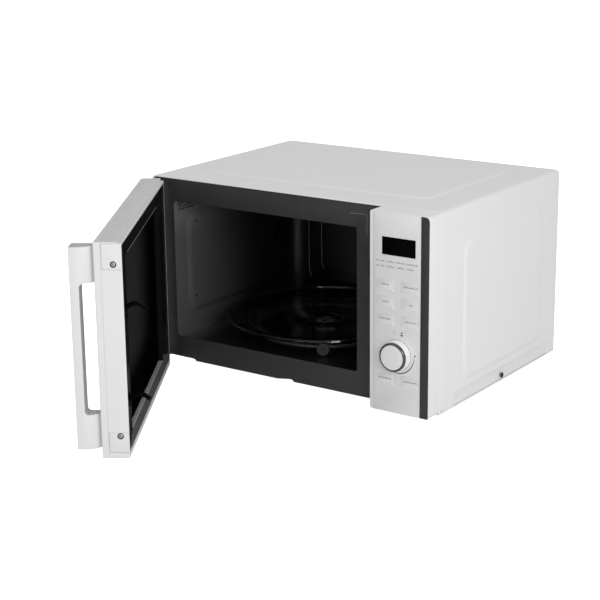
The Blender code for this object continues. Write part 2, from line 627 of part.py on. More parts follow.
def make_roller_ring(root):
    drawn_at = (TABLE_X, TABLE_Y, WELL_FLOOR)
    axis = empty("ring_axis", root, drawn_at)
    axis["drawn_at"] = drawn_at
    axle_z = WELL_FLOOR + GAP + ROLLER_RADIUS
    half = 3.5 * MM
    profile = [(RING_RADIUS - half, axle_z - 2.5 * MM), (RING_RADIUS + half, axle_z - 2.5 * MM)]
    profile += [(RING_RADIUS + half, axle_z + 2.5 * MM), (RING_RADIUS - half, axle_z + 2.5 * MM)]
    ring = solid("roller_ring", turned(profile, "Z", TABLE_X, TABLE_Y, 48), axis, BLACK_PLASTIC)
    for number in range(3):
        angle = math.radians(ROLLER_ANGLE + 120 * number)
        turn = Matrix.Translation((TABLE_X, TABLE_Y, axle_z)) @ Matrix.Rotation(angle, 4, "Z")
        stub = cylinder(0, 0, 1.6 * MM, "X", RING_RADIUS, ROLLER_REACH + 4 * MM, 12)
        bmesh.ops.transform(stub, matrix=turn, verts=stub.verts)
        join(ring, stub)
        wheel = ROLLER_RADIUS
        rim = [(2.1 * MM, -2.6 * MM), (wheel - 0.8 * MM, -2.6 * MM), (wheel, -1.6 * MM), (wheel, 1.6 * MM)]
        rim += [(wheel - 0.8 * MM, 2.6 * MM), (2.1 * MM, 2.6 * MM)]
        shape = turned(rim, "X", 0, 0, 24)
        place = turn @ Vector((ROLLER_REACH, 0, 0))
        roller = solid(f"roller_{number + 1}", shape, axis, GREY_PLASTIC, (0, 0, 0))
        roller.location = place - Vector(drawn_at)
        roller.rotation_euler = (0, 0, angle)


# ---------------------------------------------------------------- inside the case

def make_power_parts(root):
    guide_x = (CHAMBER_X[1] + SHEET + GAP, 142 * MM)
    guide_y = (106 * MM, 194 * MM)
    guide_z = (126 * MM, 194 * MM)
    guide = solid("waveguide", block(guide_x, guide_y, guide_z), root, GALVANISED)
    open_x = (guide_x[0] - 4 * MM, guide_x[1] - SHEET)
    cut(guide, block(open_x, inset(guide_y, SHEET), inset(guide_z, SHEET)))
    centre = (150 * MM, 160 * MM)
    cut(guide, cylinder(*centre, 11 * MM, "X", 136 * MM, 148 * MM, 20))

    fins = 8
    pitch = 6.5 * MM
    start = guide_x[1] + GAP
    outline = []
    for fin in range(fins):
        x = start + pitch * fin
        outline += [(x, 40 * MM), (x + 1.2 * MM, 40 * MM), (x + 1.2 * MM, 20 * MM)]
        if fin < fins - 1:
            outline.append((x + pitch, 20 * MM))
    mirrored = [(x, -z) for x, z in reversed(outline)]
    comb = [(x, centre[1] + z) for x, z in outline + mirrored]
    magnetron = solid("magnetron", extruded(comb, "Y", *around(centre[0], 38 * MM)), root, STEEL)
    join(magnetron, cylinder(*centre, 8 * MM, "X", 122 * MM, start + 5 * MM, 20))

    core_z = (2.9 * MM, 78 * MM)
    core = block((128 * MM, 208 * MM), (205 * MM, 265 * MM), core_z)
    transformer = solid("transformer", core, root, STEEL)
    join(transformer, block((140 * MM, 196 * MM), (192 * MM, 278 * MM), (12 * MM, 68 * MM), 8 * MM, "Y"))
    can = block((122 * MM, 156 * MM), (60 * MM, 112 * MM), (2.9 * MM, 92 * MM), 16.5 * MM, "Z")
    solid("capacitor", can, root, STEEL)


def make_fan(root):
    housing_y = around(FAN_Y, 12 * MM)
    housing = block(around(FAN_X, 48 * MM), housing_y, around(FAN_Z, 48 * MM))
    duct = solid("air_duct", housing, root, BLACK_PLASTIC)
    bore = cylinder(FAN_X, FAN_Z, FAN_RADIUS + 3 * MM, "Y", housing_y[0] - 2 * MM, housing_y[1] + 2 * MM, 32)
    cut(duct, bore)
    motor_y = (housing_y[1] + GAP, 300 * MM)
    stack = block(around(FAN_X, 20 * MM), motor_y, around(FAN_Z, 44.5 * MM), 4 * MM, "Y")
    solid("fan_motor", stack, root, STEEL)
    centre = Vector((FAN_X, FAN_Y, FAN_Z))
    hub_y = (FAN_Y - 9 * MM, FAN_Y + 9 * MM)
    fan = solid("fan_blade", cylinder(FAN_X, FAN_Z, 10 * MM, "Y", *hub_y, 20), root, GREY_PLASTIC, centre)
    blades = []
    for number in range(5):
        blade = block((-10 * MM, 10 * MM), (-0.7 * MM, 0.7 * MM), (8 * MM, FAN_RADIUS))
        pitch = Matrix.Rotation(math.radians(28), 4, "Z")
        turn = Matrix.Translation(centre) @ Matrix.Rotation(math.radians(72 * number), 4, "Y") @ pitch
        bmesh.ops.transform(blade, matrix=turn, verts=blade.verts)
        blades.append(blade)
    join(fan, *blades)


def make_small_parts(root):
    lamp = [(0, 110 * MM), (6 * MM, 110 * MM), (8.5 * MM, 114 * MM), (8.5 * MM, 126 * MM)]
    lamp += [(6 * MM, 132 * MM), (6 * MM, 142 * MM), (0, 142 * MM)]
    solid("cavity_lamp", turned(lamp, "X", 60 * MM, 205 * MM, 20), root, CLEAR_GLASS)
    motor = cylinder(TABLE_X, TABLE_Y, 25 * MM, "Z", 8 * MM, 21 * MM, 28)
    solid("turntable_motor", motor, root, STEEL)
    board_x = (127.5 * MM, 129.5 * MM)
    board = solid("latch_board", block(board_x, (7 * MM, 46 * MM), (42 * MM, 190 * MM)), root, BLACK_PLASTIC)
    join(board, block((127.5 * MM, 136.5 * MM), (6.8 * MM, 8.8 * MM), (42 * MM, 190 * MM)))
    for name, height in zip(("switch_lower", "switch_upper"), HOOK_HEIGHTS):
        body = block((board_x[1] + GAP, 139 * MM), (16 * MM, 44 * MM), around(height - 4 * MM, 8 * MM))
        solid(name, body, root, GREY_PLASTIC)


# ---------------------------------------------------------------- assembly

def centre_on_footprint(oven):
    """Move the whole oven so that the origin is under the middle of its bounding box."""
    bpy.context.view_layer.update()
    scene_now = bpy.context.evaluated_depsgraph_get()
    corners = []
    for piece in bpy.data.objects:
        if piece.type == "MESH" and not piece.hide_render:
            body = piece.evaluated_get(scene_now)
            corners += [body.matrix_world @ vertex.co for vertex in body.data.vertices]
    for axis in range(2):
        values = [corner[axis] for corner in corners]
        oven.location[axis] -= (min(values) + max(values)) / 2


def main():
    for old in list(bpy.data.objects):
        bpy.data.objects.remove(old)
    oven = empty("oven", location=(0, 0, FOOT_HEIGHT))
    make_case(oven)
    make_feet(oven)
    make_fittings(oven)
    make_chamber(oven)
    make_panel(oven)
    make_buttons(oven)
    make_knob(oven)
    make_hinges(oven)
    make_turntable(oven)
    make_roller_ring(oven)
    make_power_parts(oven)
    make_fan(oven)
    make_small_parts(oven)

    pivot = (PIVOT_X, PIVOT_Y, 0)
    door = empty("door_axis", oven, pivot, -DOOR_OPEN)
    door["drawn_at"] = pivot
    make_door_frame(door)
    make_door_panes(door)
    make_handle(door)
    make_door_fixings(door)
    make_latch(door)
    centre_on_footprint(oven)


main()
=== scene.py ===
"""Looks of a countertop microwave oven whose side-hinged door stands open.

Shapes are drawn in millimetres in the case's own frame: X = 0 in the middle of the case,
Y = 0 at its front lip and Z = 0 at its underside. Door pieces are drawn closed, and their
objects stand at the hinge's angle. A finished mesh is in metres, as the frame is.
"""
import json
import math

import bmesh
import bpy
from mathutils import Matrix, Vector


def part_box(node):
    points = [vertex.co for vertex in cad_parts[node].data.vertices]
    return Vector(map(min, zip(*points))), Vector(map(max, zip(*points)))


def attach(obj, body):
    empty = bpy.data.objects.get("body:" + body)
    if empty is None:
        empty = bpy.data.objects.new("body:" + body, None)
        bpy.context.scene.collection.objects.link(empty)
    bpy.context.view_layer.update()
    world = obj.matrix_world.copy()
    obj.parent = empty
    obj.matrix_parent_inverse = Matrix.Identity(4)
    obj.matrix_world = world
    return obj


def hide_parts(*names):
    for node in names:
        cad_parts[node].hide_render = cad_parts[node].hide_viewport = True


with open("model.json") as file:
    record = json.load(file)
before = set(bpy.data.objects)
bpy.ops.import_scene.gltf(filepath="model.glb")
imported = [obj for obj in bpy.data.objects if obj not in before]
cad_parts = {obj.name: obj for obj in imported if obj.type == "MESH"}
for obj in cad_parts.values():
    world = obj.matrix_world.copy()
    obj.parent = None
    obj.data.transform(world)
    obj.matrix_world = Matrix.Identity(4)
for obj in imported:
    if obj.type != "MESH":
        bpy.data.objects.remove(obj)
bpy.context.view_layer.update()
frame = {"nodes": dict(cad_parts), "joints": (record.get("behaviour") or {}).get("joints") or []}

MM = 0.001

# The case and the door's hinge, from the frame
case_low, case_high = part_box("cabinet")
CASE_ORIGIN = Vector(((case_low.x + case_high.x) / 2, case_low.y, case_low.z))
WIDTH, DEPTH, HEIGHT = (case_high - case_low) / MM
HALF = WIDTH / 2
hinge = next(joint for joint in frame["joints"] if joint["name"] == "door_hinge")
HINGE_POINT = Vector(hinge["pos_m"])
DOOR_OPEN = math.radians(-hinge["range_deg"][0])
CASE_PLACE = Matrix.Translation(CASE_ORIGIN)
SWING = (Matrix.Translation(HINGE_POINT) @ Matrix.Rotation(-DOOR_OPEN, 4, "Z")
         @ Matrix.Translation(-HINGE_POINT))
DOOR_PLACE = SWING @ CASE_PLACE
DOOR_BODIES = ("door", "latch")


def drawn(node):
    """A case node's spans in the drawing frame, in millimetres: X, Y and Z."""
    low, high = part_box(node)
    low = (low - CASE_ORIGIN) / MM
    high = (high - CASE_ORIGIN) / MM
    return tuple(zip(low, high))


def centre_of(node):
    """The middle of a case node's spans: X, Y and Z."""
    return [sum(span) / 2 for span in drawn(node)]


# ---------------- outlines

def arc(centre, radius, start, end, steps):
    """Points on a circle between two angles in degrees."""
    points = []
    for i in range(steps + 1):
        angle = math.radians(start + (end - start) * i / steps)
        points.append((centre[0] + radius * math.cos(angle), centre[1] + radius * math.sin(angle)))
    return points


def rectangle(u, v, radius=0.0, steps=6):
    """A rectangle, anticlockwise, with its four corners rounded."""
    if radius <= 0.0:
        return [(u[0], v[0]), (u[1], v[0]), (u[1], v[1]), (u[0], v[1])]
    points = arc((u[0] + radius, v[0] + radius), radius, 180, 270, steps)
    points += arc((u[1] - radius, v[0] + radius), radius, 270, 360, steps)
    points += arc((u[1] - radius, v[1] - radius), radius, 0, 90, steps)
    points += arc((u[0] + radius, v[1] - radius), radius, 90, 180, steps)
    return points


def circle(u, v, radius, steps=32):
    return arc((u, v), radius, 0, 360 * (steps - 1) / steps, steps - 1)


def around(value, half):
    return (value - half, value + half)


def inset(span, amount):
    return (span[0] + amount, span[1] - amount)


def shrunk(outline, amount):
    """The outline moved inwards by an amount along its own normals. It runs anticlockwise."""
    count = len(outline)
    points = []
    for i in range(count):
        before = Vector(outline[i]) - Vector(outline[i - 1])
        after = Vector(outline[(i + 1) % count]) - Vector(outline[i])
        normals = [Vector((-edge.y, edge.x)).normalized() for edge in (before, after)]
        middle = (normals[0] + normals[1]).normalized()
        reach = amount / max(0.3, middle.dot(normals[0]))
        points.append(tuple(Vector(outline[i]) + middle * reach))
    return points


def smoothed(points, steps=5):
    """A closed outline through the points, rounded by a Catmull-Rom curve."""
    count = len(points)
    curve = []
    for i in range(count):
        a, b, c, d = (Vector(points[(i + k) % count]) for k in (-1, 0, 1, 2))
        for step in range(steps):
            t = step / steps
            point = 0.5 * (2 * b + (c - a) * t + (2 * a - 5 * b + 4 * c - d) * t ** 2
                           + (3 * b - a - 3 * c + d) * t ** 3)
            curve.append(tuple(point))
    return curve


# ---------------- shapes

def on_axis(axis, u, v, height):
    """Outline plane to space: X takes (y, z), Y takes (x, z), Z takes (x, y)."""
    if axis == "X":
        return Vector((height, u, v))
    if axis == "Y":
        return Vector((u, height, v))
    return Vector((u, v, height))


def lofted(rings, closed_loop=False):
    """A solid through rings of points. Its ends are capped, or the last ring meets the first."""
    shape = bmesh.new()
    loops = [[shape.verts.new(point) for point in ring] for ring in rings]
    pairs = list(zip(loops, loops[1:]))
    if closed_loop:
        pairs.append((loops[-1], loops[0]))
    count = len(rings[0])
    for lower, upper in pairs:
        for i in range(count):
            j = (i + 1) % count
            shape.faces.new((lower[i], lower[j], upper[j], upper[i]))
    if not closed_loop:
        shape.faces.new(loops[0])
        shape.faces.new(loops[-1])
    bmesh.ops.recalc_face_normals(shape, faces=shape.faces)
    return shape


def slab(outline, axis, low, high, edge=0.0, steps=3):
    """A prism from low to high whose rims are rounded by the edge radius."""
    rings = [(0.0, low), (0.0, high)]
    if edge > 0:
        turns = [math.pi / 2 * i / steps for i in range(steps + 1)]
        rings = [(edge * (1 - math.sin(turn)), low + edge * (1 - math.cos(turn))) for turn in turns]
        rings += [(edge * (1 - math.cos(turn)), high - edge * (1 - math.sin(turn))) for turn in turns]
    return lofted([[on_axis(axis, u, v, height) for u, v in shrunk(outline, amount)]
                   for amount, height in rings])


def tile(u, v, depth, radius=0.0, steps=6, edge=0.0, axis="Y"):
    """A plate with rounded corners that lies across an axis, between two depths."""
    return slab(rectangle(u, v, radius, steps), axis, *depth, edge)


def block(x, y, z, radius=0.0, edge=0.0):
    """A box whose upright edges are rounded."""
    return tile(x, y, z, radius, 6, edge, "Z")


def cylinder(u, v, radius, axis, low, high, steps=32, edge=0.0):
    return slab(circle(u, v, radius, steps), axis, low, high, edge)


def turned(profile, axis, u, v, steps=64):
    """A solid of revolution: profile holds (radius, height), and its ends are on the axis or joined."""
    shape = bmesh.new()
    rings = []
    for radius, height in profile:
        if radius == 0.0:
            ring = [shape.verts.new(on_axis(axis, u, v, height))] * steps
        else:
            ring = [shape.verts.new(on_axis(axis, a, b, height)) for a, b in circle(u, v, radius, steps)]
        rings.append(ring)
    for lower, upper in zip(rings, rings[1:] + rings[:1]):
        for i in range(steps):
            j = (i + 1) % steps
            corners = list(dict.fromkeys((lower[i], lower[j], upper[j], upper[i])))
            if len(corners) > 2:
                shape.faces.new(corners)
    bmesh.ops.recalc_face_normals(shape, faces=shape.faces)
    return shape


def lifted(profile, height):
    """A profile's points of (radius, rise), moved along its axis."""
    return [(radius, height + rise) for radius, rise in profile]


def rod(points, radius, steps=10):
    """A round bar along the points, with the ends capped."""
    path = [Vector(point) for point in points]
    rings = []
    for i, point in enumerate(path):
        ahead = path[min(i + 1, len(path) - 1)] - path[max(i - 1, 0)]
        ahead.normalize()
        helper = Vector((0, 1, 0)) if abs(ahead.y) < 0.9 else Vector((1, 0, 0))
        side = ahead.cross(helper).normalized()
        up = side.cross(ahead)
        rings.append([point + (side * a + up * b) for a, b in circle(0, 0, radius, steps)])
    return lofted(rings)


def grid(rows):
    """An open sheet through rows of points."""
    shape = bmesh.new()
    table = [[shape.verts.new(point) for point in row] for row in rows]
    for lower, upper in zip(table, table[1:]):
        for i in range(len(lower) - 1):
            shape.faces.new((lower[i], lower[i + 1], upper[i + 1], upper[i]))
    return shape


def lines(low, high, pitch, *zones):
    """Grid positions from low to high, closer together inside each zone of (start, end, step)."""
    count = max(1, round((high - low) / pitch))
    values = [low + (high - low) * i / count for i in range(count + 1)]
    values = [v for v in values if not any(a - 0.4 * pitch < v < b + 0.4 * pitch for a, b, _ in zones)]
    for start, end, step in zones:
        count = max(1, round((end - start) / step))
        values += [start + (end - start) * i / count for i in range(count + 1)]
    kept = [low]
    for value in sorted(values + [high]):
        if value - kept[-1] > 0.25 and low < value <= high:
            kept.append(value)
    return kept


def eased(value):
    """A smooth step from 0 to 1."""
    value = min(1.0, max(0.0, value))
    return value * value * (3 - 2 * value)


def raised(u, v, span_u, span_v, radius, slope):
    """1 inside a rounded rectangle, 0 outside it, with a soft slope just inside its edge."""
    middle = (sum(span_u) / 2, sum(span_v) / 2)
    half = ((span_u[1] - span_u[0]) / 2, (span_v[1] - span_v[0]) / 2)
    across = (abs(u - middle[0]) - half[0] + radius, abs(v - middle[1]) - half[1] + radius)
    outside = math.hypot(max(across[0], 0), max(across[1], 0)) + min(max(across), 0) - radius
    return eased(-outside / slope)


def facing(shape, centre):
    """Turn a sheet's faces towards a point."""
    shape.normal_update()
    score = sum((Vector(centre) - face.calc_center_median()).dot(face.normal) * face.calc_area()
                for face in shape.faces)
    if score < 0:
        bmesh.ops.reverse_faces(shape, faces=shape.faces)
    return shape


def thickened(shape, thickness):
    """A sheet made solid, with its thickness on the side away from its normals."""
    shape.normal_update()
    front = list(shape.faces)
    rims = [edge for edge in shape.edges if edge.is_boundary]
    copies = {vertex: shape.verts.new(vertex.co - vertex.normal * thickness) for vertex in list(shape.verts)}
    for face in front:
        shape.faces.new([copies[vertex] for vertex in reversed(face.verts)])
    for edge in rims:
        loop = edge.link_loops[0]
        a = loop.vert
        b = loop.link_loop_next.vert
        shape.faces.new((b, a, copies[a], copies[b]))
    return shape


def add(whole, shape, index=0):
    """Put a shape into another one, on the given material. The added shape is used up."""
    copies = {vertex: whole.verts.new(vertex.co) for vertex in shape.verts}
    for face in shape.faces:
        copy = whole.faces.new([copies[vertex] for vertex in face.verts])
        copy.material_index = index
    shape.free()
    return whole


def mesh_of(name, shape):
    """A shape's mesh. The shape is used up."""
    mesh = bpy.data.meshes.new(name)
    shape.to_mesh(mesh)
    shape.free()
    return mesh


def placed(name, data, matrix=None):
    """A new object in the scene."""
    made = bpy.data.objects.new(name, data)
    bpy.context.scene.collection.objects.link(made)
    if matrix is not None:
        made.matrix_world = matrix
    return made


def carved(shape, *cutters):
    """The shape less the cutters, by an exact boolean."""
    tool = bmesh.new()
    for cutter in cutters:
        add(tool, cutter)
    objects = [placed("carving", mesh_of("carving", part)) for part in (shape, tool)]
    step = objects[0].modifiers.new("carve", "BOOLEAN")
    step.operation = "DIFFERENCE"
    step.object = objects[1]
    step.solver = "EXACT"
    bpy.context.view_layer.update()
    seen = objects[0].evaluated_get(bpy.context.evaluated_depsgraph_get())
    result = bmesh.new()
    result.from_mesh(seen.to_mesh())
    seen.to_mesh_clear()
    for carving in objects:
        bpy.data.objects.remove(carving)
    return result


def softened(shape, width, angle=50):
    """The shape with its sharp edges rounded."""
    bmesh.ops.remove_doubles(shape, verts=shape.verts, dist=0.01)
    bmesh.ops.dissolve_limit(shape, angle_limit=math.radians(0.5), verts=shape.verts, edges=shape.edges)
    sharp = [edge for edge in shape.edges
             if len(edge.link_faces) == 2 and edge.calc_face_angle() > math.radians(angle)]
    bmesh.ops.bevel(shape, geom=sharp, offset=width, segments=2, profile=0.5, affect="EDGES",
                    clamp_overlap=True)
    return shape


# ---------------- finishes

def node(tree, kind, inputs=None, **settings):
    """Add a shader node. Inputs may be values or another node's output."""
    made = tree.nodes.new(kind)
    for key, value in settings.items():
        setattr(made, key, value)
    for key, value in (inputs or {}).items():
        if isinstance(value, bpy.types.NodeSocket):
            tree.links.new(value, made.inputs[key])
        else:
            made.inputs[key].default_value = value
    return made


def noise(tree, place, size, detail=3.0):
    """Noise of a given size in millimetres, as a 0 to 1 value."""
    settings = {"Vector": place, "Scale": 1 / (size * MM), "Detail": detail}
    return node(tree, "ShaderNodeTexNoise", settings).outputs["Fac"]


def spread(tree, value, low, high):
    """A noise value stretched over a range."""
    return node(tree, "ShaderNodeMapRange", {"Value": value, "From Min": 0.3, "From Max": 0.7,
                                             "To Min": low, "To Max": high}).outputs["Result"]


def finish(name, colour, rough, metallic=0.0, mottle=0.03, mottle_size=60.0, rough_spread=0.05, grain=0.02,
           grain_size=0.8, stretch=(1, 1, 1), tint=None, sockets=None):
    """A finish with mottled colour, uneven roughness and a fine surface grain, all in object space.

    Grain is the relief's depth in millimetres. Stretch squeezes the pattern along each axis.
    """
    made = bpy.data.materials.new(name)
    made.use_nodes = True
    tree = made.node_tree
    shader = tree.nodes["Principled BSDF"]
    shader.inputs["Metallic"].default_value = metallic
    for key, value in (sockets or {}).items():
        shader.inputs[key].default_value = value
    place = node(tree, "ShaderNodeTexCoord").outputs["Object"]
    squeezed = node(tree, "ShaderNodeMapping", {"Vector": place, "Scale": stretch}).outputs["Vector"]
    patches = noise(tree, place, mottle_size)
    fine = noise(tree, squeezed, grain_size, 2.0)
    lighter = [min(1.0, channel * (1 + mottle)) for channel in (tint or colour)]
    darker = [channel * (1 - mottle) for channel in colour]
    blend = spread(tree, patches, 0.0, 1.0)
    mixed = node(tree, "ShaderNodeMix", {"Factor": blend}, data_type="RGBA")
    # a Mix node's colour sockets share their names with its other sockets, so they are set by number
    mixed.inputs[6].default_value = (*darker, 1)
    mixed.inputs[7].default_value = (*lighter, 1)
    tree.links.new(mixed.outputs[2], shader.inputs["Base Color"])
    uneven = spread(tree, noise(tree, squeezed, mottle_size / 4), rough - rough_spread, rough + rough_spread)
    tree.links.new(uneven, shader.inputs["Roughness"])
    relief = node(tree, "ShaderNodeBump", {"Height": fine, "Strength": 1.0, "Distance": grain * MM})
    tree.links.new(relief.outputs["Normal"], shader.inputs["Normal"])
    return made


def paint_light_and_shade(made, grey, *fades):
    """Paint light and shade into a finish: blend it towards a grey where every fade is high.

    A fade is an axis of the piece, the place in millimetres where it is 0, the place where it is
    full, and its lowest value.
    """
    tree = made.node_tree
    shader = tree.nodes["Principled BSDF"]
    before = shader.inputs["Base Color"].links[0].from_socket
    place = node(tree, "ShaderNodeTexCoord").outputs["Object"]
    axes = node(tree, "ShaderNodeSeparateXYZ", {"Vector": place}).outputs
    share = 1.0
    for axis, start, end, low in fades:
        ends = {"Value": axes[axis], "From Min": start * MM, "From Max": end * MM, "To Min": low}
        fade = node(tree, "ShaderNodeMapRange", ends, interpolation_type="SMOOTHSTEP").outputs["Result"]
        share = node(tree, "ShaderNodeMath", {0: share, 1: fade}, operation="MULTIPLY").outputs[0]
    mixed = node(tree, "ShaderNodeMix", {"Factor": share}, data_type="RGBA")
    tree.links.new(before, mixed.inputs[6])
    mixed.inputs[7].default_value = (grey, grey, grey, 1)
    tree.links.new(mixed.outputs[2], shader.inputs["Base Color"])


def paint_top_shade(made, share):
    """Paint shade on a finish's upward faces: their colour is darkened, as the room's light comes from the
    side.
    """
    tree = made.node_tree
    shader = tree.nodes["Principled BSDF"]
    bright = shader.inputs["Base Color"].links[0].from_socket
    normal = node(tree, "ShaderNodeNewGeometry").outputs["Normal"]
    up = node(tree, "ShaderNodeSeparateXYZ", {"Vector": normal}).outputs["Z"]
    ends = {"Value": up, "From Min": 0.2, "From Max": 0.9, "To Min": 1.0, "To Max": share}
    scale = node(tree, "ShaderNodeMapRange", ends).outputs["Result"]
    scaled = node(tree, "ShaderNodeVectorMath", {0: bright, "Scale": scale}, operation="SCALE")
    tree.links.new(scaled.outputs["Vector"], shader.inputs["Base Color"])


# Settings that several finishes share
SPECULAR = "Specular IOR Level"
MOULDED = {"mottle": 0.006, "grain": 0.004, "grain_size": 0.7}
PRINTED = {"mottle": 0.05, "mottle_size": 4, "grain": 0.0}
CREST = {"mottle": 0.1, "mottle_size": 6, "grain": 0.0}
GLASSY = {"mottle": 0.1, "rough_spread": 0.01, "grain": 0.001}
DARK_MOULDED = {"mottle": 0.1, "rough_spread": 0.03, "grain_size": 1.0}


def make_finishes():
    """Every finish of the oven by name, with the record's slot that it belongs to."""
    table = {}

    def keep(key, colour, rough, slot=None, **settings):
        """File a new finish. Its colour may be one grey value, and its slot is its own name by default."""
        if isinstance(colour, float):
            colour = (colour, colour, colour)
        made = finish(key, colour, rough, **settings)
        table[key] = (made, slot or key)
        return made

    keep("case_paint", 0.80, 0.42, mottle=0.006, rough_spread=0.02, grain=0.006, grain_size=1.2)
    keep("rear_paint", 0.74, 0.48, "case_paint", mottle=0.01, grain=0.008, grain_size=1.2)

    keep("white_plastic", 0.80, 0.36, **MOULDED)
    # copies of the white plastic with painted shade on their upward faces, for the door and the handle
    paint_top_shade(keep("door_plastic_painted_top_shade", 0.80, 0.36, "white_plastic", **MOULDED), 0.70)
    paint_top_shade(keep("handle_plastic_painted_top_shade", 0.80, 0.36, "white_plastic", **MOULDED), 0.52)
    # a darker copy of the white plastic, as painted shade on the grip's faces towards the door
    keep("handle_inside_painted_shade", 0.40, 0.4, "white_plastic", **MOULDED)
    keep("knob_white", 0.93, 0.3, "white_plastic", mottle=0.005, grain=0.002)
    # a bright white for the small domes that paint highlights at the keys' corners
    keep("glint_white", 0.93, 0.3, "white_plastic", mottle=0.005, grain=0.0)

    keep("silver_fascia", 0.79, 0.40, metallic=0.2, mottle=0.012, mottle_size=30, grain=0.006,
         grain_size=0.5)
    keep("knob_cap", 0.80, 0.38, "silver_fascia", metallic=0.1, mottle=0.006, grain=0.0)
    keep("print_grey_and_painted_shade", 0.22, 0.5, "silver_fascia", **PRINTED)
    keep("print_dark", 0.05, 0.5, "silver_fascia", **PRINTED)

    keep("trim_grey", (0.023, 0.023, 0.0235), 0.38, "dark_enamel", mottle=0.04, grain=0.004)
    front = keep("dark_enamel", (0.038, 0.038, 0.0385), 0.42, mottle=0.08, grain=0.006, grain_size=1.5)
    # painted shadow: the front plate darkens towards the hinge side, where the open door shades it
    paint_light_and_shade(front, 0.002, ("X", -172, -198, 0.0))
    chamber = keep("chamber_enamel_painted_light", (0.007, 0.007, 0.0073), 0.36, "dark_enamel", mottle=0.08,
                   rough_spread=0.02, grain=0.002, grain_size=2.5)
    # painted light: the rear wall lighter towards its right, and the left wall lighter towards the front,
    # most near the top
    paint_light_and_shade(chamber, 0.09, ("Y", 240, 285, 0.0), ("X", -150, -60, 0.0), ("Z", 40, 70, 0.0))
    paint_light_and_shade(chamber, 0.24, ("X", -160, -199, 0.0), ("Y", 220, -15, 0.0), ("Z", 150, 222, 0.5))
    # a light grey for thin rods that paint highlights along edges
    keep("line_painted_highlight", 0.20, 0.3, "dark_enamel", **CREST)
    # a lighter grey for the rods that paint highlights along the rear wall's crests
    keep("crest_painted_highlight", 0.45, 0.3, "dark_enamel", **CREST)

    keep("black_plastic", 0.006, 0.22, grain=0.002, sockets={SPECULAR: 0.12}, **DARK_MOULDED)
    keep("black_gloss", 0.009, 0.2, "black_plastic", grain=0.001, sockets={SPECULAR: 0.006}, **DARK_MOULDED)
    keep("latch_black", 0.002, 0.4, "black_plastic", mottle=0.1, grain=0.002, sockets={SPECULAR: 0.02})
    # a light grey for the inner recess's upward ledge, as a painted highlight
    keep("recess_painted_highlight", 0.36, 0.4, "black_plastic", mottle=0.1, mottle_size=6, grain=0.002)

    pane = keep("black_pane_painted_reflection", 0.0015, 0.12, "black_glass", sockets={SPECULAR: 0.0}, **GLASSY)
    # painted reflection: a faint lighter patch towards the pane's right and top
    paint_light_and_shade(pane, 0.022, ("X", -110, 20, 0.0), ("Z", 60, 105, 0.0))
    keep("black_glass", 0.002, 0.10, sockets={SPECULAR: 0.015}, **GLASSY)
    keep("tray_edge", 0.02, 0.12, "clear_glass", mottle=0.1, grain=0.0, sockets={SPECULAR: 1.0})
    keep("clear_glass", (0.95, 0.97, 0.97), 0.06, mottle=0.01, rough_spread=0.005, grain=0.002,
         grain_size=6.0, sockets={"Transmission Weight": 1.0, "IOR": 1.5})

    keep("knob_chrome", 0.13, 0.22, "chrome", metallic=1.0, mottle=0.02, rough_spread=0.03, grain=0.001)
    keep("bare_steel", (0.45, 0.45, 0.46), 0.34, metallic=1.0, mottle=0.05, mottle_size=12,
         grain=0.01, stretch=(1, 1, 12))
    keep("dark_steel", 0.05, 0.4, "bare_steel", metallic=0.8, mottle=0.1, mottle_size=3, grain=0.0)
    keep("aluminium", (0.60, 0.60, 0.61), 0.38, metallic=1.0, mottle=0.05, grain=0.01, stretch=(12, 1, 1))
    keep("galvanised", (0.50, 0.51, 0.52), 0.36, metallic=0.95, mottle=0.14, mottle_size=9,
         rough_spread=0.1, grain=0.01)

    keep("dark_rubber", 0.018, 0.7, mottle=0.12, mottle_size=8, grain=0.05)
    keep("grey_plastic", 0.36, 0.42, mottle=0.03, mottle_size=15, grain=0.01)
    keep("roller_plastic", 0.07, 0.3, "grey_plastic", mottle=0.03, mottle_size=15, grain=0.004)
    keep("board", (0.03, 0.11, 0.05), 0.42, mottle=0.2, mottle_size=5, grain=0.02)
    keep("mica", (0.40, 0.34, 0.24), 0.5, mottle=0.15, mottle_size=7, grain=0.03, tint=(0.47, 0.42, 0.33))
    return table


FINISHES = make_finishes()


# ---------------- pieces

def piece(name, shape, body, look, *nodes, place=None, angle=35.0, extra=()):
    """Turn a drawn shape into a piece that rides on a body and stands for its CAD nodes.

    Extra looks are the next materials of the mesh.
    """
    bmesh.ops.transform(shape, matrix=Matrix.Scale(MM, 4), verts=shape.verts)
    mesh = mesh_of(name, shape)
    mesh.shade_smooth()
    mesh.set_sharp_from_angle(angle=math.radians(angle))
    for key in (look, *extra):
        mesh.materials.append(FINISHES[key][0])
    if place is None:
        place = DOOR_PLACE if body in DOOR_BODIES else CASE_PLACE
    made = placed(name, mesh, place)
    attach(made, body)
    if nodes:
        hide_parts(*nodes)
    return made


def carry_over(look, *nodes):
    """Give CAD nodes whose shape is right a better finish."""
    for name in nodes:
        for slot in frame["nodes"][name].material_slots:
            slot.material = FINISHES[look][0]


# ---------------- case

CASE_CORNER = 6.0
CASE_BEND = 2.0
FLANGE = 10.0
SHEET = 1.0
ROLL = 1.6
FAR = 1e5
# A screw head's radius and height
CASE_SCREW = (3.7, 1.4)
REAR_SCREW = (3.7, 1.5)
# A foot's section: radius and rise above its lower end
FOOT = ((0, 0.6), (6.5, 0.6), (7.2, 0), (9.0, 0), (9.6, 0.5), (10.4, 1.4), (10.8, 3.6), (11.6, 4.4))
# The small hole low in the right side: Y, Z and radius
SIDE_HOLE = (6.0, 4.0, 1.3)

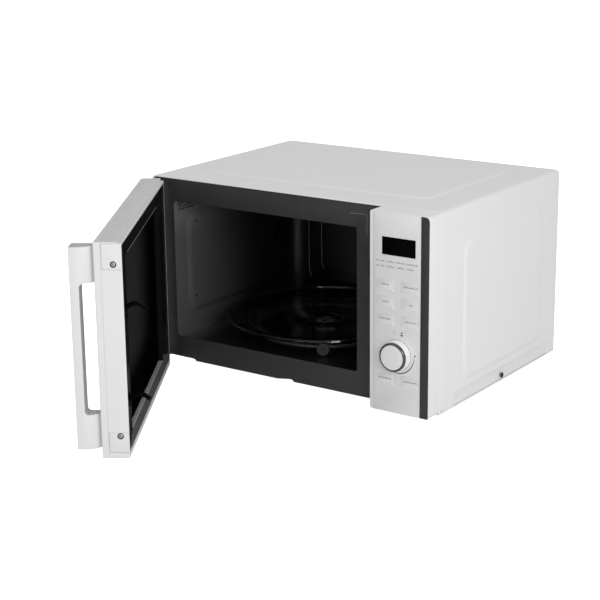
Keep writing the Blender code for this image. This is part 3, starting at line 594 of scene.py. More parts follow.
# How far the fields are pressed out. A field has two spans, a corner radius and its slope's width.
EMBOSS = 1.9
TOP_FIELD = ((-185, 172), (49, 270), 22, 6)
SIDE_FIELD = ((54, 265), (28, 209), 19, 6)
SIDE_STRIP = ((35, 293), (-40, 20), 12, 3)


def bent(centre, radius, start, end, steps):
    """Points on a bend of a sheet, each with its outward normal."""
    return [(u, v, (u - centre[0]) / radius, (v - centre[1]) / radius)
            for u, v in arc(centre, radius, start, end, steps)]


def case_section():
    """The wrapped sheet's section, left flange to right flange: X, Z and the outward normal."""
    side = lines(CASE_BEND, HEIGHT - CASE_CORNER, 14, (17, 21, 0.8), (27, 36, 1.1), (36, 48, 2.5),
                 (189, 201, 2.5), (201, 210, 1.1))[1:-1]
    top = lines(-HALF + CASE_CORNER, HALF - CASE_CORNER, 16, (-186, -177, 1.1), (-177, -160, 2.5),
                (147, 164, 2.5), (164, 173, 1.1))[1:-1]
    left = [(-HALF + FLANGE, 0.0, 0.0, -1.0)]
    left += bent((-HALF + CASE_BEND, CASE_BEND), CASE_BEND, 270, 180, 4)
    left += [(-HALF, z, -1.0, 0.0) for z in side]
    left += bent((-HALF + CASE_CORNER, HEIGHT - CASE_CORNER), CASE_CORNER, 180, 90, 10)
    right = [(-x, z, -nx, nz) for x, z, nx, nz in reversed(left)]
    return left + [(x, HEIGHT, 0.0, 1.0) for x in top] + right


def case_relief(x, y, z, nx, nz):
    """How far the sheet is pressed out at a place on the case."""
    height = 0.0
    if abs(nx) > 0.99:
        height = EMBOSS * raised(y, z, *SIDE_FIELD)
        height -= EMBOSS * raised(y, z, *SIDE_STRIP)
    elif nz > 0.99:
        height = EMBOSS * raised(x, y, *TOP_FIELD)
    for depth in (y, DEPTH - y):
        height -= rounding(depth, ROLL)
    return height


def make_case():
    depths = lines(0, DEPTH, 14, (0, 1.6, 0.4), (34, 39, 0.9), (48, 62, 1.1), (62, 76, 2.5), (243, 256, 2.5),
                   (256, 271, 1.1), (289, 294, 0.9), (309.4, 311, 0.4))
    rows = []
    for x, z, nx, nz in case_section():
        heights = [case_relief(x, y, z, nx, nz) for y in depths]
        rows.append([(x + nx * height, y, z + nz * height) for y, height in zip(depths, heights)])
    cover = facing(grid(rows), (0, 0, FAR))
    y, z, radius = SIDE_HOLE
    cover = carved(thickened(cover, SHEET), cylinder(y, z, radius, "X", *around(HALF, 3), 16))
    piece("case_cover", cover, "case", "case_paint", "cabinet", angle=50)


def screw(axis, u, v, seat, radius, height, outward=1):
    """A domed screw head with a cross recess, on a flat seat. It faces along the axis."""
    dome = ((0.0, height), (0.55, height * 0.94), (0.85, height * 0.6), (1.0, 0.12), (0.96, 0.0), (0.4, 0.0),
            (0.4, -2.0), (0.0, -2.0))
    head = turned([(radius * share, seat + outward * rise) for share, rise in dome], axis, u, v, 32)
    arm = radius * 0.62
    thin = radius * 0.13
    reach = sorted((seat + outward * height * 0.25, seat + outward * (height + 1)))
    for long, across in ((arm, thin), (thin, arm)):
        head = carved(head, tile(around(u, long), around(v, across), reach, axis=axis))
    return head


def make_case_fittings():
    y, z = centre_of("side_screw")[1:]
    piece("case_screw_right", screw("X", y, z, HALF + 0.1, *CASE_SCREW), "case", "dark_steel", "side_screw")
    piece("case_screw_left", screw("X", y, z, -HALF - 0.1, *CASE_SCREW, -1), "case", "bare_steel")
    for side in ("left", "right"):
        for end in ("front", "rear"):
            name = f"foot_{end}_{side}"
            low, high = drawn(name)[2]
            profile = lifted(FOOT, low) + [(11.9, high - 0.6), (11.6, high), (0, high)]
            pad = turned(profile, "Z", *centre_of(name)[:2], 40)
            piece(f"foot_pad_{end}_{side}", pad, "case", "dark_rubber", name)


# ---------------- floor and back

PAN_FRONT = 16
PAN_HOLES = [(90 + 9 * column, 225 + 9 * row) for column in range(10) for row in range(3)]
PAN_HOLE_RADIUS = 2.2
PAN_RIBS = (-120, -46, 28)

BACK_PRESS = 1.6
BACK_FIELDS = (((-194, 60), (26, 226), 16, 6), ((76, 210), (136, 226), 12, 5))
LOUVRES = [(x, z) for x in (95, 147) for z in range(150, 220, 10)]
LOUVRE_WIDTH = 44
BACK_HOLES = [(x, z) for x in range(-120, -20, 10) for z in range(60, 110, 10)]
BACK_HOLE_RADIUS = 2.4
GLAND_HOLE_RADIUS = 6.6
LABEL_X = (-80, 30)
LABEL_Z = (150, 205)
REAR_SCREWS = ((-205, 236), (0, 240), (205, 236), (-205, 12), (205, 12), (-205, 125), (205, 125))


def make_floor_pan():
    """The base plate, set back from the front plate, with ribs and rows of air holes."""
    x, y, z = drawn("base_plate")
    holes = [cylinder(u, v, PAN_HOLE_RADIUS, "Z", z[0] - 2, z[1] + 2, 12) for u, v in PAN_HOLES]
    pan = carved(block(x, (PAN_FRONT, y[1]), z, 4, 0.2), *holes)
    for u in PAN_RIBS:
        add(pan, rod([(u, 40, z[0] + 0.3), (u, 285, z[0] + 0.3)], 1.0))
    piece("floor_pan", pan, "case", "galvanised", "base_plate")


def make_back():
    x_span, y_span, z_span = drawn("back_panel")
    face = y_span[1]
    xs = lines(*x_span, 18, (-196, -186, 1.2), (52, 62, 1.2), (74, 84, 1.2), (202, 212, 1.2))
    zs = lines(*z_span, 18, (24, 34, 1.2), (134, 144, 1.2), (218, 228, 1.2))
    rows = [[(x, face + BACK_PRESS * sum(raised(x, z, *field) for field in BACK_FIELDS), z) for x in xs]
            for z in zs]
    sheet = facing(grid(rows), (0, FAR, 0))
    gland_x, _, gland_z = centre_of("cord_gland")
    through = (face - 4, face + 6)
    holes = [tile((x, x + LOUVRE_WIDTH), (z, z + 4), through, 1.9) for x, z in LOUVRES]
    holes.append(cylinder(gland_x, gland_z, GLAND_HOLE_RADIUS, "Y", *through))
    holes += [cylinder(x, z, BACK_HOLE_RADIUS, "Y", *through, 12) for x, z in BACK_HOLES]
    panel = carved(thickened(sheet, SHEET), *holes)
    for x, z in LOUVRES:
        end = x + LOUVRE_WIDTH
        hood = ((x + 1.5, 1.5), (x + 5, 1.9), (end - 5, 1.9), (end - 1.5, 1.5))
        add(panel, rod([(u, face + rise, z + 4.2) for u, rise in hood], 1.3))
    piece("rear_panel", panel, "case", "rear_paint", "back_panel", angle=40)
    for number, (x, z) in enumerate(REAR_SCREWS, 1):
        piece(f"rear_screw_{number}", screw("Y", x, z, face + 0.05, *REAR_SCREW), "case", "bare_steel")
    label = tile(LABEL_X, LABEL_Z, (face + 1.7, face + 2.0), 3, edge=0.1)
    piece("rear_label", label, "case", "aluminium")

    low, high = drawn("cord_gland")[1]
    profile = [(3.8, low), (5.9, low), (6.2, low + 1)]
    profile += lifted([(6.2, -1.6), (5.6, -1.4), (5.6, 0.3), (8.6, 0.3), (9.0, 0.8), (8.8, 2.0)], face)
    profile += [(7.6, high - 0.6), (6.8, high), (3.8, high)]
    piece("cord_bushing", turned(profile, "Y", gland_x, gland_z, 40), "case", "dark_rubber", "cord_gland")


# ---------------- front plate and chamber

MOUTH_X = (-190, 98.5)
MOUTH_Z = (33.3, 218)
SLOT_X = (116.2, 126)
SLOT_HALF = 11
TAB_X = (-175, -160)
TAB_Z = (234.4, 237.6)
# Each domed stud's X, Z and radius
STUDS = ((90.7, 14.2, 1.6), (-196, 236.7, 1.5), (-199, 15.8, 1.6))

WALL_RADIUS = 26.0
WALL_PRESS = 3.2
WALL_FIELD = ((42, 250), (52, 196), 22, 9)
REAR_PRESS = 2.4
REAR_FIELDS = (((-170, 78), (50, 206), 20, 5), ((-148, 56), (65, 190), 18, 5))
CEILING_PRESS = 1.5
CEILING_FIELD = ((-170, 78), (40, 250), 30, 8)
LINER_SHEET = 0.9
# The painted highlights on the rear wall's pressed edges, as thin light rods: X, lower end, upper end and
# depth
CRESTS = ((-169.6, 51.7, 204, 2.3), (-146.7, 65.9, 190, 3.2))
CREST_BEND = 16

VENT_ORIGIN = (29, 200.5)
VENT_PITCH = (5.2, 4.1)
VENT_RADIUS = 1.75
RIGHT_VENTS_BACK = 30
BOLT_HOLES = ((61.9, 179.4), (58.5, 75.3))
BOLT_HOLE_RADIUS = 1.9
DUCT_Y = (20, 82)
DUCT_Z = (58, 218)
WELL_RADIUS = 117.0
WELL_FLOOR = 24.0
WELL_EDGE = 2.4
SPINDLE_HOLE_RADIUS = 8


def make_front_plate():
    x, y, z = drawn("front_plate")
    through = (y[0] - 3, y[1] + 3)
    low = z[0] - 2
    step = [(x[0] - 2, low), (-157.5, low), (-160, 3.4), (-163, 4.4), (x[0] - 2, 4.4)]
    notch = [(-24.7, low), (1.5, low), (1.2, 2.4), (-1.5, 4.4), (-6, 4.2), (-24.7, z[0])]
    openings = [tile(MOUTH_X, MOUTH_Z, through, 4, 8), slab(step, "Y", *through), slab(notch, "Y", *through)]
    for switch in ("switch_lower", "switch_upper"):
        openings.append(tile(SLOT_X, around(centre_of(switch)[2] + 5, SLOT_HALF), through, 1.5, 4))
    plate = carved(slab(rectangle(x, z, CASE_CORNER), "Y", *y, 0.2, 2), *openings)
    for u, v, radius in STUDS:
        dome = lifted([(0, -0.7), (radius * 0.7, -0.5), (radius, 0.2), (0, 0.2)], y[0])
        add(plate, turned(dome, "Y", u, v, 20))
    add(plate, tile(TAB_X, TAB_Z, (y[0] - 0.45, y[0] + 0.2), 1.5, edge=0.4))
    # a thin rod in a light finish along the plate's rib, as a painted highlight
    seam = [(89.6, 234.7), (111.5, 235.4), (113.0, 234.6), (113.4, 233), (112.8, 209.5)]
    add(plate, rod([(u, y[0] - 0.05, v) for u, v in seam], 0.42, 8), 1)
    piece("face_plate", plate, "case", "dark_enamel", "front_plate", extra=("line_painted_highlight",))


def wall_path(x, y):
    """Plan of the chamber's walls from the left front corner round to the right one, with inward normals."""
    radius = WALL_RADIUS
    side = lines(y[0], y[1] - radius, 16, (33, 43, 1.3), (43, 58, 3), (240, 252, 1.5))[:-1]
    back = lines(x[0] + radius, x[1] - radius, 16, (-171, -163, 1.2), (-163, -140, 1.6), (48, 58, 1.2),
                 (70, 79, 1.2))[1:-1]
    left_corner = bent((x[0] + radius, y[1] - radius), radius, 180, 90, 12)
    right_corner = bent((x[1] - radius, y[1] - radius), radius, 90, 0, 12)
    points = [(x[0], value, 1.0, 0.0) for value in side]
    points += [(a, b, -u, -v) for a, b, u, v in left_corner]
    points += [(value, y[1], 0.0, -1.0) for value in back]
    points += [(a, b, -u, -v) for a, b, u, v in right_corner]
    points += [(x[1], value, -1.0, 0.0) for value in reversed(side)]
    return points


def wall_relief(a, b, nx, ny, z):
    """How far a chamber wall is pressed inwards."""
    if nx > 0.99:
        return WALL_PRESS * raised(b, z, *WALL_FIELD)
    if ny < -0.99:
        return sum(REAR_PRESS * raised(a, z, *field) for field in REAR_FIELDS)
    return 0.0


def chamber_sheet(x, y, z, relief):
    """The chamber's floor or ceiling, with its two rounded rear corners."""
    radius = WALL_RADIUS
    middle = sum(x) / 2
    rows = []
    for b in lines(*y, 9, (y[1] - radius, y[1], 2)):
        over = max(0.0, b - (y[1] - radius))
        cut = radius - math.sqrt(max(0.0, radius ** 2 - over ** 2))
        share = (x[1] - x[0] - 2 * cut) / (x[1] - x[0])
        across = [middle + (a - middle) * share for a in lines(*x, 9)]
        rows.append([(a, b, z + relief(a, b)) for a in across])
    return grid(rows)


def wall_holes(x):
    """The chamber walls' vent holes, bolt holes and wave port."""
    left = around(x[0], 3)
    right = around(x[1], 3)
    holes = []
    for row in range(3):
        for column in range(7):
            u = VENT_ORIGIN[0] + VENT_PITCH[0] * (column + 0.5 * (row % 2))
            v = VENT_ORIGIN[1] + VENT_PITCH[1] * row
            holes.append(cylinder(u, v, VENT_RADIUS, "X", *left, 12))
            holes.append(cylinder(u + RIGHT_VENTS_BACK, v, VENT_RADIUS, "X", *right, 12))
    holes += [cylinder(u, v, BOLT_HOLE_RADIUS, "X", x[0] - 3, x[0] + 5, 12) for u, v in BOLT_HOLES]
    port_y, port_z = (inset(span, 10) for span in drawn("mica_cover")[1:])
    return holes + [tile(port_y, port_z, right, 4, axis="X")]


def make_chamber():
    spans = drawn("cavity_liner")
    x = inset(spans[0], SHEET)
    z = inset(spans[2], SHEET)
    y = (spans[1][0], spans[1][1] - SHEET)
    centre = (sum(x) / 2, sum(y) / 2, sum(z) / 2)
    levels = lines(*z, 12, (50, 58, 1.2), (58, 86, 2.5), (172, 184, 2.5), (184, 192, 1.2), (192, 212, 1.6))
    rows = []
    for a, b, nx, ny in wall_path(x, y):
        depths = [wall_relief(a, b, nx, ny, level) for level in levels]
        rows.append([(a + nx * depth, b + ny * depth, level) for depth, level in zip(depths, levels)])
    walls = carved(thickened(facing(grid(rows), centre), SHEET), *wall_holes(x))

    table_x, table_y = centre_of("turntable_glass")[:2]

    def floor_relief(a, b):
        away = math.hypot(a - table_x, b - table_y)
        return (WELL_FLOOR - z[0]) * eased((WELL_RADIUS + WELL_EDGE / 2 - away) / WELL_EDGE)

    def ceiling_relief(a, b):
        return -CEILING_PRESS * raised(a, b, *CEILING_FIELD)

    floor = thickened(facing(chamber_sheet(x, y, z[0], floor_relief), centre), LINER_SHEET)
    spindle = cylinder(table_x, table_y, SPINDLE_HOLE_RADIUS, "Z", WELL_FLOOR - 3, z[0] + 3)
    add(walls, carved(floor, spindle))
    ceiling = facing(chamber_sheet(x, y, z[1], ceiling_relief), centre)
    add(walls, thickened(ceiling, LINER_SHEET))
    # thin rods in a light finish, as painted highlights on the rear wall's pressed edges
    for left, low, top, depth in CRESTS:
        bend = arc((left + CREST_BEND, low + CREST_BEND), CREST_BEND, 190, 225, 4)
        crest = [(left, top), (left, low + CREST_BEND)] + bend
        add(walls, rod([(u, y[1] - depth, v) for u, v in crest], 0.45, 8), 1)
    piece("chamber_shell", walls, "case", "chamber_enamel_painted_light", "cavity_liner", angle=45, extra=("crest_painted_highlight",))

    duct = tile(DUCT_Y, DUCT_Z, (x[0] - 3.0, x[0] - 1.5), 4, edge=0.3, axis="X")
    piece("side_duct", duct, "case", "black_plastic")
    depth, across, height = drawn("mica_cover")
    cover = tile(across, height, depth, 6, edge=0.15, axis="X")
    piece("wave_cover", cover, "case", "mica", "mica_cover")


# ---------------- control panel

PANEL = drawn("control_bezel")
PANEL_FACE = drawn("control_fascia")[1][0]
DISPLAY = drawn("display_window")
KNOB_X, _, KNOB_Z = centre_of("knob_body")
KNOB_HOLE_RADIUS = 4.5
# The bezel's part inside the case, and its hollow: X and Z
BEZEL_NECK = ((140, 218), (4, 248.5))
BEZEL_HOLLOW = ((142.5, 215.5), (6.5, 246))
STRIP_CORNER = 6

KEY_WIDTH = 23.4
KEY_HEIGHT = 13.0
KEY_CENTRES = (159.4, 193.6)
BUTTONS = [f"button_{column}{row}" for row in range(1, 5) for column in "ab"]
KEYS = [(KEY_CENTRES["ab".index(name[-2])], centre_of(name)[2]) for name in BUTTONS]

# Marks on the fascia's film, printed and painted: half the film's thickness, and the words' spans
PRINT = 0.06
FILM_DEPTH = around(PANEL_FACE, PRINT)
WORD_HEIGHT = 1.4
UPPER_WORDS_Z = 190.6
LOWER_WORDS_Z = 184.6
UPPER_WORDS = ((147.3, 150.8), (152.3, 159.3), (161.9, 172.4), (174.4, 186.5), (189.0, 204.0))
LOWER_WORDS = ((147.3, 150.8), (152.3, 158.9), (161.9, 172.4), (175.9, 185.5), (189.0, 198.5))
CAPTIONS = ((154.0, 164.7), (184.9, 205.0), (155.6, 165.8), (192.4, 198.8), (151.1, 168.0), (187.2, 203.8),
            (150.3, 169.0), (185.8, 204.8))
# dark ticks at the right keys' lower left corners, as painted shade: X span and heights
TICK_X = (181.5, 182.3)
TICKS = (157.4, 136.0, 114.9, 39.8)
DOTS = ((201.3, 79.7), (183.0, 105.3))
DOT_RADIUS = 1.1
DASH = ((181.3, 184.7), (101.5, 103.2))
# A ring's radius and line width: the knob's ring is a painted shadow round the skirt's foot, the small ring
# is print
KNOB_SHADOW_RING = (19.6, 0.35)
SMALL_RING = (2.0, 0.25)
SMALL_RING_SPOT = (172.6, 104.4)


def key_openings(gap, depth, radius=0.0, steps=6):
    """Openings for the eight keys, with a gap all round."""
    return [tile(around(u, KEY_WIDTH / 2 + gap), around(v, KEY_HEIGHT / 2 + gap), depth, radius, steps)
            for u, v in KEYS]


def make_bezel():
    x, y, z = PANEL
    front = y[0]
    seam = -0.3
    edge = 1.1
    outer = rectangle((x[0] - 0.8, x[1]), z, 3)
    rims = [(edge * (1 - math.sin(turn)), front + edge * (1 - math.cos(turn)))
            for turn in (0, 0.4, 0.8, 1.2, math.pi / 2)]
    rims += [(0.0, seam - 0.2), (0.2, seam)]
    rings = [[(u, depth, v) for u, v in shrunk(outer, amount)] for amount, depth in rims]
    rings += [[(u, depth, v) for u, v in rectangle(*BEZEL_NECK, 3)] for depth in (seam, 4.6)]
    bezel = carved(lofted(rings), tile(*BEZEL_HOLLOW, (front + 3, 9), 2))
    through = (front - 3, front + 4)
    window = tile(inset(DISPLAY[0], -0.3), inset(DISPLAY[2], -0.3), through)
    knob = cylinder(KNOB_X, KNOB_Z, KNOB_HOLE_RADIUS, "Y", *through)
    bezel = carved(bezel, window, knob, *key_openings(0.4, through))
    piece("panel_bezel", bezel, "case", "white_plastic", "control_bezel")


def make_fascia():
    """The silver fascia, the dark strip beside it and the display's pane."""
    y, z = drawn("control_fascia")[1:]
    x = (PANEL[0][0] + 5.0, KEY_CENTRES[1] + KEY_WIDTH / 2 + 0.4)
    through = (y[0] - 2, y[1] + 2)
    window = tile(inset(DISPLAY[0], -0.2), inset(DISPLAY[2], -0.2), through, 0.6, 3)
    knob = cylinder(KNOB_X, KNOB_Z, KNOB_HOLE_RADIUS, "Y", *through)
    fascia = slab(rectangle(x, z, 1), "Y", *y, 0.2, 2)
    fascia = carved(fascia, *key_openings(0.04, through, 1.0, 3), window, knob)
    piece("panel_fascia", fascia, "case", "silver_fascia", "control_fascia")

    x, y, z = drawn("trim_strip")
    outline = [(x[0], z[0]), (x[1], z[0])]
    outline += arc((x[1] - STRIP_CORNER, z[1] - STRIP_CORNER), STRIP_CORNER, 0, 90, 10) + [(x[0], z[1])]
    piece("panel_strip", slab(outline, "Y", *y, 0.25), "case", "trim_grey", "trim_strip")
    pane = tile(DISPLAY[0], DISPLAY[2], (DISPLAY[1][0] + 0.15, DISPLAY[1][1]), 0.5, 3, 0.15)
    piece("display_pane", pane, "case", "black_glass", "display_window")


def words(spans, z, face):
    """Short printed strokes on a face, standing for its small captions: X spans and Z."""
    strokes = bmesh.new()
    pattern = (1.0, 1.5, 0.7, 1.0, 1.25, 0.8, 1.6, 1.0, 0.7, 1.4)
    low = z - WORD_HEIGHT / 2
    for start, end in spans:
        count = max(1, round((end - start) / 0.95))
        pitch = (end - start) / count
        for i in range(count):
            tall = WORD_HEIGHT * pattern[(i * 3 + int(start)) % len(pattern)]
            u = start + i * pitch
            add(strokes, tile((u, u + pitch * 0.56), (low, low + tall), around(face, PRINT)))
    return strokes


def swoosh(x, z):
    """A printed arc under the knob that widens and moves away from it."""
    inner = []
    outer = []
    steps = 28
    for i in range(steps + 1):
        share = i / steps
        angle = math.radians(-100 + 102 * share)
        middle = 22.3 + 1.5 * share
        half = 0.15 + 0.5 * math.sin(math.pi * (0.15 + 0.8 * share))
        for side, reach in ((inner, middle - half), (outer, middle + half)):
            side.append((x + reach * math.cos(angle), z + reach * math.sin(angle)))
    return slab(outer + inner[::-1], "Y", *FILM_DEPTH)


def ring_mark(x, z, radius, width):
    """A thin ring on the fascia's film, for print and for a painted shadow line."""
    low, high = FILM_DEPTH
    profile = [(radius - width, low), (radius, low), (radius, high), (radius - width, high)]
    return turned(profile, "Y", x, z)


def make_prints():
    """The words, the print and the painted shadow ring round the knob, the painted shade ticks by the right
    keys, and small domes as painted highlights at the keys' corners.
    """
    marks = words(UPPER_WORDS, UPPER_WORDS_Z, PANEL_FACE)
    add(marks, words(LOWER_WORDS, LOWER_WORDS_Z, PANEL_FACE))
    add(marks, swoosh(KNOB_X, KNOB_Z), 2)
    for u, v in DOTS:
        add(marks, cylinder(u, v, DOT_RADIUS, "Y", *FILM_DEPTH, 20), 2)
    add(marks, tile(*DASH, FILM_DEPTH, 0.3, 3), 2)
    # painted shadow round the foot of the knob's skirt
    add(marks, ring_mark(KNOB_X, KNOB_Z, *KNOB_SHADOW_RING))
    add(marks, ring_mark(*SMALL_RING_SPOT, *SMALL_RING))
    # dark ticks by the right keys' corners, as painted shade
    for v in TICKS:
        add(marks, tile(TICK_X, around(v, 0.9), FILM_DEPTH, 0.2, 2))
    # small white domes at the keys' lower right corners, as painted highlights
    glint = lifted([(0, -0.6), (0.75, -0.5), (1.2, -0.05), (1.2, 0.1), (0, 0.1)], PANEL_FACE)
    for u, v in KEYS:
        add(marks, turned(glint, "Y", u + KEY_WIDTH / 2 - 0.5, v - KEY_HEIGHT / 2 + 0.3, 16), 1)
    piece("panel_print_and_painted_light", marks, "case", "print_grey_and_painted_shade", extra=("glint_white", "print_dark"))


def make_buttons():
    """Keys flush with the fascia, their captions, and the foot and stem behind each."""
    foot = PANEL_FACE + 4.2
    stem = PANEL_FACE + 6.1
    for name, (x, z), caption in zip(BUTTONS, KEYS, CAPTIONS):
        front, end = drawn(name)[1]
        key = tile(around(x, KEY_WIDTH / 2), around(z, KEY_HEIGHT / 2), (front, foot), 1.0, 3, 0.12)
        add(key, tile(around(x, 12.7), around(z, 7.5), (foot, stem), 0.8, 3, 0.1))
        add(key, tile(around(x, 2), around(z, 2), (stem, end), 0.3, 2, 0.1))
        add(key, words((caption,), z, front), 1)
        piece(f"{name}_key", key, name, "silver_fascia", name, extra=("print_grey_and_painted_shade",))


def make_knob():
    base = PANEL_FACE - 0.3
    end = drawn("knob_body")[1][1]
    skirt = [(0, end), (2.7, end), (3.0, end - 0.4)]
    skirt += lifted([(3.0, 0), (18.9, 0), (19.2, -0.25), (19.3, -0.8), (19.3, -1.8), (19.2, -3.0),
                     (19.05, -5.2), (18.9, -7.4), (18.75, -8.2), (18.4, -8.5), (15.3, -8.5), (15.3, -11.4),
                     (0, -11.4)], base)
    band = lifted([(15.6, 0), (17.9, 0), (18.05, -0.3), (18.0, -1.4), (17.7, -2.5), (17.1, -3.2),
                   (16.4, -3.45), (15.9, -3.3), (15.6, -2.9)], base - 8.8)
    cap = lifted([(0, -11.5), (15.0, -11.5), (15.3, -11.7), (15.35, -12.0), (15.1, -12.3), (14.4, -12.45),
                  (9.0, -12.55), (0, -12.6)], base)
    for name, profile, look, nodes in (("knob_skirt", skirt, "knob_white", ("knob_body",)),
                                       ("knob_band", band, "knob_chrome", ("knob_ring",)),
                                       ("knob_cap", cap, "knob_cap", ())):
        piece(name, turned(profile, "Y", KNOB_X, KNOB_Z, 96), "knob", look, *nodes)


# ---------------- door

DOOR_X = (-220.0, 136.3)
DOOR_Z = (-4.0, 249.2)
DOOR_FRONT = -27.0
DOOR_BACK = 4.7
DOOR_SEAM = -0.3
PIVOT_X = -214.5
PIVOT_Y = -20.5
PIN_HOLE_RADIUS = 2.9
HINGE_ARM = 3.5
# Each hinge arm's lower and upper side and the end of its pin
HINGE_ARMS = ((241.0, 243.0, 230.0), (7.0, 9.0, 20.0))
RIM_X = (-209.5, 136.3)
RIM_Z = (-3.6, 248.1)
POCKET_X = (-208.9, 133.8)
POCKET_Z = (3.6, 244.8)
POCKET_FLOOR = DOOR_FRONT + 2.5
WINDOW_X = (-168.0, 88.0)
WINDOW_Z = (42.0, 208.0)
INNER_X = (-147.0, 110.0)
INNER_Z = (22.0, 228.0)
# Each corner plate's lower and upper side and its screw's height
CORNER_PLATES = {"top": (217.6, 246.8, 223.5), "bottom": (3.4, 26.9, 23.0)}
SCREW_Y = -5.1
FRONT_SEAM_Y = -19.0
GROOVE_X = (-215, 135.2)
GROOVE_Y = 2.6
GROOVE_Z = (0.3, 1.6)
HOOK_X = (116.6, 122.6)
HOOK_HEIGHTS = (61.0, 168.0)
HANDLE_X = (116.0, 136.0)
HANDLE_Z = (6.0, 243.4)
HANDLE_OUT = -55.0
HANDLE_BAR = 10.5
FINGER_Z = (47.5, 201.0)


def rounding(distance, radius):
    """How far a rounded edge stands back from its face, at a distance from its other face."""
    if distance >= radius:
        return 0.0
    return radius - math.sqrt(max(0.0, radius ** 2 - (radius - distance) ** 2))


def pin_clearance(y):
    """How far the door's left side stands back, so that it turns about the pins clear of the case."""
    reach = DOOR_SEAM - PIVOT_Y
    across = math.sqrt(max(0.0, reach ** 2 - (y - PIVOT_Y) ** 2))
    return max(0.0, PIVOT_X - across - DOOR_X[0])


def frame_ring(x, z, radius, y, steps=5):
    """A rounded rectangle of points at a depth in the door."""
    return [(u, y, v) for u, v in rectangle(x, z, radius, steps)]


def widened(x, z, out, radius, y, steps=5):
    """A ring at a distance outside two spans."""
    return frame_ring(inset(x, -out), inset(z, -out), radius, y, steps)


def door_rings():
    """Rings round the door moulding: over its front, round its edges and back inside its pocket."""
    rings = [frame_ring(WINDOW_X, WINDOW_Z, 5, y) for y in (POCKET_FLOOR, DOOR_FRONT + 0.9)]
    rings.append(widened(WINDOW_X, WINDOW_Z, 0.3, 5.3, DOOR_FRONT + 0.3))
    rings.append(widened(WINDOW_X, WINDOW_Z, 1.0, 6, DOOR_FRONT))
    levels = [DOOR_FRONT + depth for depth in (0, 0.08, 0.25, 0.5, 0.85, 1.3, 2.0, 3.2, 4.8, 6.2)]
    levels += [FRONT_SEAM_Y + offset for offset in (-0.45, -0.25, 0.25, 0.45)]
    levels += [DOOR_SEAM - depth for depth in (7.2, 5.5, 4.0, 2.6, 1.5, 0.7, 0.3, 0.08, 0)]
    for y in levels:
        groove = 0.6 if abs(y - FRONT_SEAM_Y) < 0.3 else 0.0
        front = rounding(y - DOOR_FRONT, 1.5)
        seam = rounding(DOOR_SEAM - y, 0.6)
        left = max(rounding(y - DOOR_FRONT, 6.0), seam, pin_clearance(y), groove)
        x = (DOOR_X[0] + left, DOOR_X[1] - max(front, groove))
        rings.append(frame_ring(x, inset(DOOR_Z, max(front, seam, groove)), 1.2, y))
    rings.append(frame_ring(RIM_X, RIM_Z, 1.2, DOOR_SEAM))
    for depth in (0.9, 0.5, 0.2, 0.0):
        rings.append(widened(RIM_X, RIM_Z, -rounding(depth, 0.9), 1.2, DOOR_BACK - depth))
    rings.append(widened(POCKET_X, POCKET_Z, 0.3, 2, DOOR_BACK))
    rings.append(frame_ring(POCKET_X, POCKET_Z, 2, DOOR_BACK - 0.3))
    rings.append(frame_ring(POCKET_X, POCKET_Z, 2, POCKET_FLOOR))
    return rings


def make_door_shell():
    side = DOOR_X[1]
    arm_x = (-225, PIVOT_X + HINGE_ARM + 1)
    arm_y = (PIVOT_Y - HINGE_ARM - 1.2, 9)
    arms = [block(arm_x, arm_y, (low - 0.6, high + 0.6)) for low, high, _ in HINGE_ARMS]
    pins = []
    for low, _, pin_end in HINGE_ARMS:
        reach = sorted((pin_end + math.copysign(1, pin_end - low), low))
        pins.append(cylinder(PIVOT_X, PIVOT_Y, PIN_HOLE_RADIUS, "Z", *reach, 24))
    plates = [block((side - 0.9, side + 5), (-18.3, 9), (low - 0.3, high + 0.3))
              for low, high, _ in CORNER_PLATES.values()]
    shell = lofted(door_rings(), closed_loop=True)
    for cutters in (arms, pins, plates, [block(GROOVE_X, (GROOVE_Y, 9), GROOVE_Z)]):
        shell = carved(shell, *cutters)
    # the rim faces by the hinge take the black plastic; the groove's faces take it as painted shade, for its
    # shadow line
    for face in shell.faces:
        middle = face.calc_center_median()
        in_groove = (GROOVE_Z[0] - 0.1 < middle.z < GROOVE_Z[1] + 0.1
                     and GROOVE_Y - 0.1 < middle.y < DOOR_BACK - 0.05 and middle.x < 135.3)
        if middle.y > DOOR_SEAM + 0.1 and (middle.x < -203 or in_groove):
            face.material_index = 1
    piece("door_shell", shell, "door", "door_plastic_painted_top_shade", "door_frame", extra=("black_plastic",))

    depth = (POCKET_FLOOR + 0.3, POCKET_FLOOR + 3.3)
    glass = tile(inset(WINDOW_X, -3), inset(WINDOW_Z, -3), depth, 8, edge=0.4)
    piece("door_pane", glass, "door", "black_glass", "door_glass")


def make_corner_plates():
    side = DOOR_X[1]
    for name, (low, high, screw_z) in CORNER_PLATES.items():
        plate = slab(rectangle((-18.0, DOOR_BACK), (low, high), 0.8, 4), "X", side - 0.6, side, 0.2, 2)
        plate = carved(plate, cylinder(SCREW_Y, screw_z, 3.75, "X", side - 3, side + 3, 40))
        piece(f"corner_cover_{name}", plate, "door", "door_plastic_painted_top_shade", f"corner_plate_{name}")
        # a dark ring round each screw head, as painted shade in the plate's hole
        seat = lifted([(2.6, -0.75), (3.6, -0.75), (3.62, 0.1), (3.2, 0.25), (2.6, 0.1)], side)
        piece(f"screw_painted_shade_ring_{name}", turned(seat, "X", SCREW_Y, screw_z, 40), "door", "dark_steel")
        head = screw("X", SCREW_Y, screw_z, side - 0.3, 2.75, 0.9)
        piece(f"corner_screw_{name}", head, "door", "bare_steel", f"door_screw_{name}")


